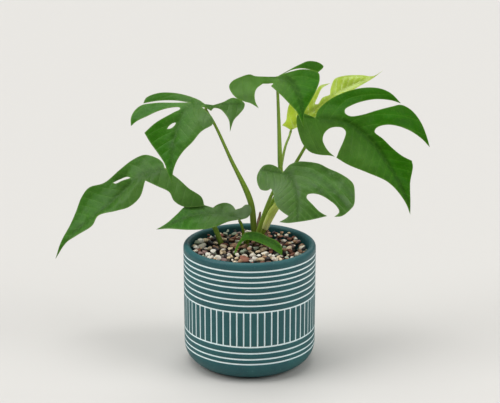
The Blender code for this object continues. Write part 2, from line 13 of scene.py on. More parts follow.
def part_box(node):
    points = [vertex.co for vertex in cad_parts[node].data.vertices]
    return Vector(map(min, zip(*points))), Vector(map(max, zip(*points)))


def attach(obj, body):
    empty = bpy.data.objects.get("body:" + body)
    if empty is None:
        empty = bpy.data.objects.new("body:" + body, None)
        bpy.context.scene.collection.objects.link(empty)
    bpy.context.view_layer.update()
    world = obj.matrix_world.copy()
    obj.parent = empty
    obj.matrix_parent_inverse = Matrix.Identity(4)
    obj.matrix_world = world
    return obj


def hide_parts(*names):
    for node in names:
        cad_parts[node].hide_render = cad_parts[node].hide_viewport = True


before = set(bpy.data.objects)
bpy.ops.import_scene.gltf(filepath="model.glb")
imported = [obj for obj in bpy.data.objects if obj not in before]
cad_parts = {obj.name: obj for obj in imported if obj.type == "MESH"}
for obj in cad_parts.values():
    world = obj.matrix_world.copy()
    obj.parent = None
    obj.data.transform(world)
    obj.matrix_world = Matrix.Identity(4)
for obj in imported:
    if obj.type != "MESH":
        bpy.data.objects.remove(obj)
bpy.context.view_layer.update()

# ---------------------------------------------------------------- studio
# A plain pale floor under large soft lights, as for a shop picture of a plant.
# The camera stands a long way off in front and looks slightly down. Its place, tilt and lens come from
# a scratch program's fit to the pot's lines in the photo.
MM = 0.001
CAMERA_PLACE = (0.0004, -1.293, 0.557)
CAMERA_TILT = math.radians(90 - 16.7)
CAMERA_LENS = 97
FLOOR_HALF_WIDTH = 15.0
ROOM_GLOW = (0.26, 0.90)  # strength of the pale room round the floor: as a light, and as it is seen
SOFT_LIGHTS = {
    # name: (way to the light, how wide it looks in degrees, strength)
    "overhead": ((-0.15, 0.10, 1.0), 50, 1.75),
    "left": ((-0.95, -0.30, 0.80), 38, 1.25),
    "right": ((0.95, -0.35, 0.75), 38, 1.05),
    "back": ((0.30, 0.95, 0.80), 40, 0.45),
}


def paint(red, green, blue):
    """A shade as seen on a screen, 0 to 255 a channel, as the linear colour that a shader takes."""
    shares = [channel / 255 for channel in (red, green, blue)]
    return (*[((share + 0.055) / 1.055) ** 2.4 if share > 0.04 else share / 12.92 for share in shares], 1.0)


def add_node(tree, kind, inputs=(), **settings):
    """A shader node with its settings, and its inputs given as numbers, colours or other nodes' sockets."""
    made = tree.nodes.new("ShaderNode" + kind)
    for setting, value in settings.items():
        setattr(made, setting, value)
    for socket, value in dict(inputs).items():
        if isinstance(value, bpy.types.NodeSocket):
            tree.links.new(value, made.inputs[socket])
        else:
            made.inputs[socket].default_value = value
    return made


def blended(tree, share, first, second):
    """The first colour turning into the second as the share goes from 0 to 1."""
    return add_node(tree, "Mix", {0: share, 6: first, 7: second}, data_type="RGBA").outputs[2]


def stretched(tree, value, low, high, new_low=0.0, new_high=1.0):
    """A value from low to high, eased to run from new_low to new_high and held there."""
    node = add_node(tree, "MapRange", {0: value, 1: low, 2: high, 3: new_low, 4: new_high},
                    interpolation_type="SMOOTHSTEP")
    return node.outputs[0]


def spanned(tree, value, new_low, new_high):
    """A value from 0 to 1, eased to run from new_low to new_high."""
    return stretched(tree, value, 0.0, 1.0, new_low, new_high)


def sum_of(tree, first, second):
    return add_node(tree, "Math", {0: first, 1: second}, operation="ADD").outputs[0]


def product_of(tree, first, second):
    return add_node(tree, "Math", {0: first, 1: second}, operation="MULTIPLY").outputs[0]


def new_finish(name, **constants):
    """A material with one Principled shader and the constants that hold all over the surface."""
    material = bpy.data.materials.new(name)
    material.use_nodes = True
    tree = material.node_tree
    shader = tree.nodes["Principled BSDF"]
    for socket, value in constants.items():
        shader.inputs[socket.replace("_", " ")].default_value = value
    return material, tree, shader


def finish_surface(tree, shader, colour, roughness, height, depth):
    """Join the colour, the roughness and a bump of the given depth in metres to the shader."""
    tree.links.new(colour, shader.inputs["Base Color"])
    tree.links.new(roughness, shader.inputs["Roughness"])
    bump = add_node(tree, "Bump", {"Strength": 1.0, "Distance": depth, "Height": height})
    tree.links.new(bump.outputs["Normal"], shader.inputs["Normal"])


def new_group(name, inputs, outputs):
    """An empty shader group: its input sockets with their values, and its output sockets."""
    group = bpy.data.node_groups.new(name, "ShaderNodeTree")
    for socket, value in inputs.items():
        given = group.interface.new_socket(socket, in_out="INPUT", socket_type="NodeSocketFloat")
        given.default_value = value
    for socket in outputs:
        group.interface.new_socket(socket, in_out="OUTPUT", socket_type="NodeSocketFloat")
    return group, group.nodes.new("NodeGroupInput"), group.nodes.new("NodeGroupOutput")


def use_group(tree, group, **inputs):
    """Place a group with its input values, and return its output sockets."""
    placed = add_node(tree, "Group", node_tree=group)
    for socket, value in inputs.items():
        placed.inputs[socket.replace("_", " ")].default_value = value
    return placed.outputs


def link_new(obj):
    bpy.context.scene.collection.objects.link(obj)
    return obj


studio_world = bpy.data.worlds.new("studio")
studio_world.use_nodes = True
room_tree = studio_world.node_tree
room_paper = room_tree.nodes["Background"]
room_paper.inputs["Color"].default_value = paint(243, 243, 242)
seen_directly = add_node(room_tree, "LightPath").outputs["Is Camera Ray"]
room_tree.links.new(spanned(room_tree, seen_directly, *ROOM_GLOW), room_paper.inputs["Strength"])
bpy.context.scene.world = studio_world
bpy.context.scene.view_settings.view_transform = "Standard"

camera = link_new(bpy.data.objects.new("camera", bpy.data.cameras.new("camera")))
camera.location = CAMERA_PLACE
camera.rotation_euler = (CAMERA_TILT, 0, 0)
camera.data.lens = CAMERA_LENS
camera.data.sensor_width = 36
bpy.context.scene.camera = camera

for light_name, (way, width, strength) in SOFT_LIGHTS.items():
    light = link_new(bpy.data.objects.new(light_name, bpy.data.lights.new(light_name, "SUN")))
    light.data.angle = math.radians(width)
    light.data.energy = strength
    light.rotation_euler = (-Vector(way)).to_track_quat("-Z", "Y").to_euler()

floor_mesh = bpy.data.meshes.new("floor")
floor_corners = [(x * FLOOR_HALF_WIDTH, y * FLOOR_HALF_WIDTH, 0)
                 for x, y in ((-1, -1), (1, -1), (1, 1), (-1, 1))]
floor_mesh.from_pydata(floor_corners, [], [(0, 1, 2, 3)])
floor = link_new(bpy.data.objects.new("floor", floor_mesh))
floor_paper, _, floor_shader = new_finish("floor_paper", Roughness=0.9)
floor_shader.inputs["Base Color"].default_value = paint(206, 204, 200)
floor.data.materials.append(floor_paper)

# ---------------------------------------------------------------- pot
# A thrown stoneware pot in a matt teal glaze, with rounded foot and rim. Pale lines are cut
# a hair deep through the glaze: rings above and below, and a band of upright bars between.
POT_LOW, POT_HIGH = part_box("pot")
POT_RADIUS = (POT_HIGH.x - POT_LOW.x) / 2
POT_HEIGHT = POT_HIGH.z
POT_WALL = 7 * MM
POT_FLOOR = 10 * MM
FOOT_ROUNDING = 22 * MM
INSIDE_ROUNDING = 12 * MM
FOOT_RING = (36 * MM, 1.2 * MM)  # inner radius of the foot ring, and how far the base is set up in it
WALL_STARTS = 15 * MM
# Heights of the cut rings in mm, taken over from that fit. The band of bars fills the space between
# the two groups.
UPPER_RINGS = [117.8, 112.2, 106.9, 101.4, 95.2, 88.9, 82.6, 75.9]
LOWER_RINGS = [39.4, 32.7, 26.3, 21.1]
BAND = (LOWER_RINGS[0] * MM, UPPER_RINGS[-1] * MM)
BARS = 60
BAR_SPACES = (0.37, 0.63)  # where the wall has edges between two bars, as shares of the space
FIRST_BAR = math.radians(-89)
BAR_STRAY = 0.03  # as a share of the space between two bars
LINE_HALF_WIDTH = 0.65 * MM
BAR_HALF_WIDTH = 0.56 * MM
LINE_BEVEL = 0.18 * MM
LINE_DEPTH = 0.22 * MM
LINE_WAVER = 0.10 * MM
WAVER_TURN, WAVER_RISE = 3, 60  # how fast the waver changes round the pot, and up it


def arc(centre_x, centre_z, radius, start, end, pieces):
    """Profile points on an arc, from one angle to another in degrees."""
    return [(centre_x + radius * math.cos(math.radians(start + (end - start) * i / pieces)),
             centre_z + radius * math.sin(math.radians(start + (end - start) * i / pieces)))
            for i in range(pieces + 1)]


def lofted(name, rings):
    """A closed body through rings of equal length, with each end closed by a fan to its middle."""
    rings = np.asarray(rings, dtype=float)
    rows, sides = rings.shape[:2]
    points = np.vstack([rings.reshape(-1, 3), rings[0].mean(axis=0), rings[-1].mean(axis=0)])
    here = np.arange(sides)
    following = (here + 1) % sides
    faces = []
    for row in range(rows - 1):
        low, high = row * sides, (row + 1) * sides
        faces += np.stack([low + here, low + following, high + following, high + here], axis=1).tolist()
    last = (rows - 1) * sides
    faces += np.stack([following, here, np.full(sides, rows * sides)], axis=1).tolist()
    faces += np.stack([last + here, last + following, np.full(sides, rows * sides + 1)], axis=1).tolist()
    return new_piece(name, points, faces)


def new_piece(name, points, faces):
    mesh = bpy.data.meshes.new(name)
    mesh.from_pydata(np.asarray(points).tolist(), [], faces)
    mesh.shade_smooth()
    return link_new(bpy.data.objects.new(name, mesh))


def give_values(piece, name, values):
    """Store one number for each point of a piece, for its material to read."""
    values = np.asarray(values, dtype=np.float32).ravel()
    spare = len(piece.data.vertices) - len(values)
    values = np.append(values, np.full(spare, values[-1]))
    piece.data.attributes.new(name, "FLOAT", "POINT").data.foreach_set("value", values)


def outer_radius(height):
    """The pot's outside radius at a height on its wall or its rounded foot."""
    below = max(0.0, FOOT_ROUNDING - height)
    return POT_RADIUS - FOOT_ROUNDING + math.sqrt(FOOT_ROUNDING**2 - below**2)


def pot_rows():
    """The pot's profile, under its base to its inside floor: (radius, height, cut here, in the band)."""
    foot = POT_RADIUS - FOOT_ROUNDING
    ring_inside, ring_height = FOOT_RING
    outline = [(radius * MM, ring_height) for radius in (4, 16, 28)]
    outline += [(ring_inside - 0.6 * MM, ring_height), (ring_inside, 0.2 * MM)]
    outline += [(ring_inside + 0.8 * MM, 0), (foot - 2 * MM, 0)]
    outline += arc(foot, FOOT_ROUNDING, FOOT_ROUNDING, -90, -12, 14)
    rows = [(x, z, 0) for x, z in outline]
    edge = LINE_HALF_WIDTH + LINE_BEVEL
    steps = ((-edge, 0), (-LINE_HALF_WIDTH, 1), (0, 1), (LINE_HALF_WIDTH, 1), (edge, 0))
    for ring in sorted(LOWER_RINGS + UPPER_RINGS):
        middle = ring * MM
        rows += [(outer_radius(middle + step), middle + step, cut_here) for step, cut_here in steps]
        if middle == BAND[0]:
            rows += [(outer_radius(height), height, 0) for height in np.linspace(*BAND, 9)[1:-1]]
    rows = [(x, z, cut_here, BAND[0] < z < BAND[1]) for x, z, cut_here in rows]
    rim = POT_WALL / 2
    corner = POT_RADIUS - POT_WALL - INSIDE_ROUNDING
    inside = arc(POT_RADIUS - rim, POT_HEIGHT - rim, rim, 0, 180, 16)
    inside += arc(corner, POT_FLOOR + INSIDE_ROUNDING, INSIDE_ROUNDING, 0, -90, 6)
    inside += [(20 * MM, POT_FLOOR)]
    return rows + [(x, z, 0, 0) for x, z in inside]


def pot_columns():
    """Angles round the pot, bar by bar: (angle, cut here). The bars stray a little, as if hand-cut."""
    chance = np.random.default_rng(8)
    half = BAR_HALF_WIDTH / POT_RADIUS
    edge = (BAR_HALF_WIDTH + LINE_BEVEL) / POT_RADIUS
    pitch = 2 * math.pi / BARS
    steps = [(-edge, 0), (-half, 1), (0, 1), (half, 1), (edge, 0)]
    steps += [(pitch * share, 0) for share in BAR_SPACES]
    columns = []
    for bar in range(BARS):
        middle = FIRST_BAR + bar * pitch + float(chance.normal(0, BAR_STRAY)) * pitch
        columns += [(middle + step, cut_here) for step, cut_here in steps]
    return columns


def build_pot():
    """The pot with its lines cut in, and a mask of the cut for its glaze."""
    rings, cuts = [], []
    columns = pot_columns()
    for radius, height, ring_cut, in_band in pot_rows():
        on_wall = WALL_STARTS < height < POT_HEIGHT - POT_WALL and radius > POT_RADIUS - POT_WALL / 2
        ring = []
        for angle, bar_cut in columns:
            x, y = math.cos(angle), math.sin(angle)
            on_line = ring_cut or (in_band and bar_cut)
            out = radius - LINE_DEPTH * on_line
            waver = LINE_WAVER * noise(Vector((x * WAVER_TURN, y * WAVER_TURN, height * WAVER_RISE)))
            ring.append((out * x, out * y, height + (waver if on_wall else 0)))
            cuts.append(on_line)
        rings.append(ring)
    pot = lofted("pot_shell", rings)
    give_values(pot, "line", cuts)
    return pot


def stored(tree, name):
    """The number that a piece keeps at each of its points under this name."""
    return add_node(tree, "Attribute", attribute_name=name).outputs["Fac"]


def tinted(tree, colour, mask, start, full, share, tint):
    """A colour that takes up a share of a tint where the mask goes from start to full."""
    return blended(tree, stretched(tree, mask, start, full, 0.0, share), colour, tint)


def mottle_group():
    """Slow and fine unevenness over a surface, each from 0 to 1."""
    scales = {"Broad Scale": 20.0, "Fine Scale": 300.0}
    group, given, result = new_group("mottle", scales, ["Broad", "Fine"])
    place = add_node(group, "TexCoord").outputs["Object"]
    for name, detail in (("Broad", 3.0), ("Fine", 2.0)):
        scale = given.outputs[name + " Scale"]
        grain = add_node(group, "TexNoise",
                         {"Vector": place, "Scale": scale, "Detail": detail, "Roughness": 0.6})
        group.links.new(stretched(group, grain.outputs["Fac"], 0.25, 0.75), result.inputs[name])
    return group


MOTTLE = mottle_group()


def glaze_finish():
    """Matt teal glaze, a little cloudy and streaked, with pale specks. Cut lines show a chalky slip."""
    material, tree, shader = new_finish("teal_glaze", IOR=1.5, Specular_IOR_Level=0.32)
    cloud = use_group(tree, MOTTLE, Broad_Scale=26.0, Fine_Scale=900.0)
    place = add_node(tree, "TexCoord").outputs["Object"]
    upright = add_node(tree, "Mapping", {"Vector": place, "Scale": (90.0, 90.0, 9.0)}).outputs[0]
    streaks = add_node(tree, "TexNoise", {"Vector": upright, "Scale": 1.0, "Detail": 3.0}).outputs["Fac"]
    teal = blended(tree, cloud["Broad"], paint(34, 87, 91), paint(42, 97, 98))
    teal = tinted(tree, teal, streaks, 0.35, 0.7, 0.55, paint(34, 82, 87))
    teal = tinted(tree, teal, cloud["Fine"], 0.86, 0.99, 0.5, paint(92, 132, 135))
    ragged = sum_of(tree, stored(tree, "line"), spanned(tree, cloud["Fine"], -0.12, 0.12))
    chalk = stretched(tree, ragged, 0.42, 0.62)
    slip = blended(tree, cloud["Broad"], paint(242, 255, 255), paint(230, 250, 253))
    slip = tinted(tree, slip, cloud["Fine"], 0.72, 1.0, 0.25, paint(150, 185, 188))
    roughness = sum_of(tree, spanned(tree, cloud["Broad"], 0.44, 0.56), spanned(tree, chalk, 0.0, 0.25))
    finish_surface(tree, shader, blended(tree, chalk, teal, slip), roughness, cloud["Fine"], 0.05 * MM)
    return material


pot_piece = build_pot()
pot_piece.data.materials.append(glaze_finish())
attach(pot_piece, "root")
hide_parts("pot")

# ---------------------------------------------------------------- potting soil
# Damp dark potting mix of bark, peat and grit, filled to about 2 cm under the rim. Only
# slivers of it show between the stones, so it is one crumbly body.
SOIL_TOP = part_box("potting_soil")[1].z
SOIL_GAP = 0.3 * MM
SOIL_CRUMB = 0.8 * MM
CRUMBS_PER_METRE = 260
SOIL_SIDES = 96


def build_soil():
    """The soil, a hair clear of the pot's inside, with a crumbly top."""
    inside = POT_RADIUS - POT_WALL - SOIL_GAP
    bottom = POT_FLOOR + SOIL_GAP
    rounding = INSIDE_ROUNDING - SOIL_GAP
    profile = [(8 * MM, bottom)] + arc(inside - rounding, bottom + rounding, rounding, -90, 0, 4)
    profile += [(inside, bottom + (SOIL_TOP - bottom) * share) for share in (0.4, 0.7, 1.0)]
    profile += [(inside * share, SOIL_TOP) for share in np.linspace(0.96, 0.03, 26)]
    rings = []
    for radius, height in profile:
        ring = []
        for k in range(SOIL_SIDES):
            angle = 2 * math.pi * k / SOIL_SIDES
            x, y = radius * math.cos(angle), radius * math.sin(angle)
            grain = noise(Vector((x * CRUMBS_PER_METRE, y * CRUMBS_PER_METRE, 5)))
            crumb = grain - 1 if height == SOIL_TOP else 0
            ring.append((x, y, height + crumb * SOIL_CRUMB))
        rings.append(ring)
    return lofted("soil_fill", rings)


def soil_finish():
    """Dark crumbs with paler bits of bark."""
    material, tree, shader = new_finish("potting_mix", Specular_IOR_Level=0.25)
    crumbs = use_group(tree, MOTTLE, Broad_Scale=160.0, Fine_Scale=1400.0)
    colour = blended(tree, crumbs["Broad"], paint(30, 22, 17), paint(62, 46, 33))
    colour = tinted(tree, colour, crumbs["Fine"], 0.7, 0.95, 0.6, paint(104, 82, 58))
    roughness = spanned(tree, crumbs["Broad"], 0.95, 0.8)
    finish_surface(tree, shader, colour, roughness, crumbs["Fine"], 0.4 * MM)
    return material


soil_piece = build_soil()
soil_piece.data.materials.append(soil_finish())
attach(soil_piece, "root")
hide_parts("potting_soil")

# ---------------------------------------------------------------- stem
# The creeping stem lies in the soil and turns up into the crown that the stalks grow from.
# It is green and faintly ringed where old leaves came away.
HEADSPACE = 6.5 * MM
GRAVEL_TOP = POT_HEIGHT - HEADSPACE
STEM_ROUTE = [(-35, 18, -22), (-20, 18, -22), (-6, 18, -21), (4, 19, -15), (9, 19, -5), (9, 19, 3),
              (9, 19, 9)]
STEM_RADII = [4.0, 5.0, 5.3, 5.5, 6.7, 7.2, 5.4]
STEM_STEP = 0.9 * MM
STEM_SIDES = 28
STEM_UP = Vector((0, -1, 0.01))
STEM_SCARS = [9, 21, 33, 45, 52, 58]  # how far along the stem each leaf scar rings it, in mm
SCAR_HEIGHT = 0.14
SCAR_WIDTH = 0.8
FIBRE_REACH, FIBRE_STRETCH = 2.0, 25


def smooth_curve(points, step):
    """Points along a smooth curve through the given points, about one step apart."""
    knots = [np.array(point, dtype=float) for point in points]
    before = 2 * knots[0] - knots[1]
    after = 2 * knots[-1] - knots[-2]
    padded = [before, *knots, after]
    curve = [knots[0]]
    for p0, p1, p2, p3 in zip(padded, padded[1:], padded[2:], padded[3:]):
        pieces = max(1, round(float(np.linalg.norm(p2 - p1)) / step))
        first, second, third = [max(float(np.linalg.norm(b - a)), 1e-9) ** 0.5
                                for a, b in ((p0, p1), (p1, p2), (p2, p3))]
        start = ((p1 - p0) / first - (p2 - p0) / (first + second) + (p2 - p1) / second) * second
        end = ((p2 - p1) / second - (p3 - p1) / (second + third) + (p3 - p2) / third) * second
        for i in range(1, pieces + 1):
            t = i / pieces
            curve.append((2 * t**3 - 3 * t**2 + 1) * p1 + (t**3 - 2 * t**2 + t) * start
                         + (3 * t**2 - 2 * t**3) * p2 + (t**3 - t**2) * end)
    return curve


def above_gravel(points):
    """Listed points (x, y, height above the gravel) in millimetres, as places in the scene."""
    return [Vector((x * MM, y * MM, GRAVEL_TOP + height * MM)) for x, y, height in points]


def frames_along(route, step, up):
    """Stations on a smooth route: (centre, side, up square to the route, travelled so far)."""
    centres = [Vector(point) for point in smooth_curve(route, step)]
    stations = []
    travelled = 0.0
    for i, centre in enumerate(centres):
        along = (centres[min(i + 1, len(centres) - 1)] - centres[max(i - 1, 0)]).normalized()
        upright = (up - along * up.dot(along)).normalized()
        stations.append((centre, along.cross(upright), upright, travelled))
        travelled += (centres[min(i + 1, len(centres) - 1)] - centre).length
    return stations


def give_fibres(piece, places):
    """Store for each point of a piece where it lies among the fibres, which run along the third axis."""
    spare = [(0, 0, 0)] * (len(piece.data.vertices) - len(places))
    places = np.array(places + spare, dtype=np.float32)
    piece.data.attributes.new("fibre", "FLOAT_VECTOR", "POINT").data.foreach_set("vector", places.ravel())


def grown(name, route, step, sides, up, width_at):
    """A stalk-like body. width_at(travelled, share, angle) is its radius; angle 0 is the upper side."""
    stations = frames_along(route, step, up)
    length = stations[-1][3]
    angles = [2 * math.pi * k / sides for k in range(sides)]
    rings, shares, fibres = [], [], []
    for row, (centre, side, upright, travelled) in enumerate(stations):
        share = travelled / length
        rings.append([centre + (upright * math.cos(angle) + side * math.sin(angle))
                      * width_at(travelled, share, angle) for angle in angles])
        shares += [share] * sides
        fibres += [(math.cos(angle) * FIBRE_REACH, math.sin(angle) * FIBRE_REACH,
                    row * step * FIBRE_STRETCH) for angle in angles]
    piece = lofted(name, rings)
    give_values(piece, "share", shares)
    give_values(piece, "upper", [math.cos(angle) for angle in angles] * len(stations))
    give_fibres(piece, fibres)
    return piece


def fibre_group():
    """Fine streaks that run along a stalk, from 0 to 1."""
    group, given, result = new_group("fibre_streaks", {"Scale": 3.0}, ["Streaks"])
    place = add_node(group, "Attribute", attribute_name="fibre").outputs["Vector"]
    grain = add_node(group, "TexNoise", {"Vector": place, "Scale": given.outputs["Scale"], "Detail": 3.0})
    group.links.new(stretched(group, grain.outputs["Fac"], 0.3, 0.7), result.inputs["Streaks"])
    return group


FIBRES = fibre_group()


def stem_width(travelled, share, angle):
    """The stem's radius, ringed by its scars."""
    width = float(np.interp(share, np.linspace(0, 1, len(STEM_RADII)), STEM_RADII))
    scars = sum(math.exp(-((travelled / MM - scar) / SCAR_WIDTH) ** 2) for scar in STEM_SCARS)
    return width * MM * (1 + SCAR_HEIGHT * scars)


def stem_finish():
    """Streaked green skin, brown in places."""
    material, tree, shader = new_finish("stem_skin", IOR=1.42, Specular_IOR_Level=0.4)
    cloud = use_group(tree, MOTTLE, Broad_Scale=120.0, Fine_Scale=1300.0)
    streaks = use_group(tree, FIBRES, Scale=4.0)["Streaks"]
    colour = blended(tree, streaks, paint(56, 78, 28), paint(82, 102, 44))
    colour = tinted(tree, colour, cloud["Broad"], 0.5, 0.9, 0.7, paint(98, 76, 48))
    finish_surface(tree, shader, colour, spanned(tree, cloud["Fine"], 0.5, 0.65), streaks, 0.15 * MM)
    return material


stem_piece = grown("creeping_stem", above_gravel(STEM_ROUTE), STEM_STEP, STEM_SIDES, STEM_UP, stem_width)
stem_piece.data.materials.append(stem_finish())
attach(stem_piece, "root")
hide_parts("stem")

# ---------------------------------------------------------------- leaf blades
# Eight leathery blades, split and holed as the kind is. Each has a sunken midrib on top that
# stands out below, side veins with the leaf quilted between them, and a thin pale edge.
BLADE_THICKNESS = 0.7 * MM
EDGE_THICKNESS = 0.42 * MM
COARSE_EDGE, COARSE_GRID = 4.5, 8.0
FINE_EDGE, FINE_GRID = 1.15, 1.25
EDGE_ROOM, RIB_ROOM = 0.5, 0.6  # room left at the edge and the midrib, as shares of the grid's step
SAME_POINT = 0.2
SPINE_ENDS = 0.8  # how near the edge the midrib's own points stop, in mm
DRAWN_PULL = 0.6  # how firmly the sheet is held to its drawn depths, against its stiffness
SWELL_STEP, SWELL_HEIGHT = 21, 0.75
RIPPLE_STEP, RIPPLE_HEIGHT = 9, 0.22
VEIN_SWEEP, VEIN_BEND, VEIN_FAN = 0.40, 0.005, 0.60  # how side veins lean to the tip, curve and spread
VEIN_OFFSET = 0.45  # how far the veins of one half are out of step with those of the other
QUILT_HEIGHT = 0.36
RIB_WIDTH, RIB_NARROWS, RIB_FLARE = 1.9, 1.35, 2.5  # at the base, less at the tip, more at the stalk
RIB_DEPTH, RIB_SHALLOWS = 0.55, 0.35
RIB_BELOW, QUILT_BELOW = 1.7, 0.8  # how strongly each shows on the underside, as a share of the upper side
SKETCH_LEAN = math.radians(16.7)
SKETCH_RIGHT = Vector((1, 0, 0))
SKETCH_UP = Vector((0, math.sin(SKETCH_LEAN), math.cos(SKETCH_LEAN)))
SKETCH_FRONT = Vector((0, -math.cos(SKETCH_LEAN), math.sin(SKETCH_LEAN)))

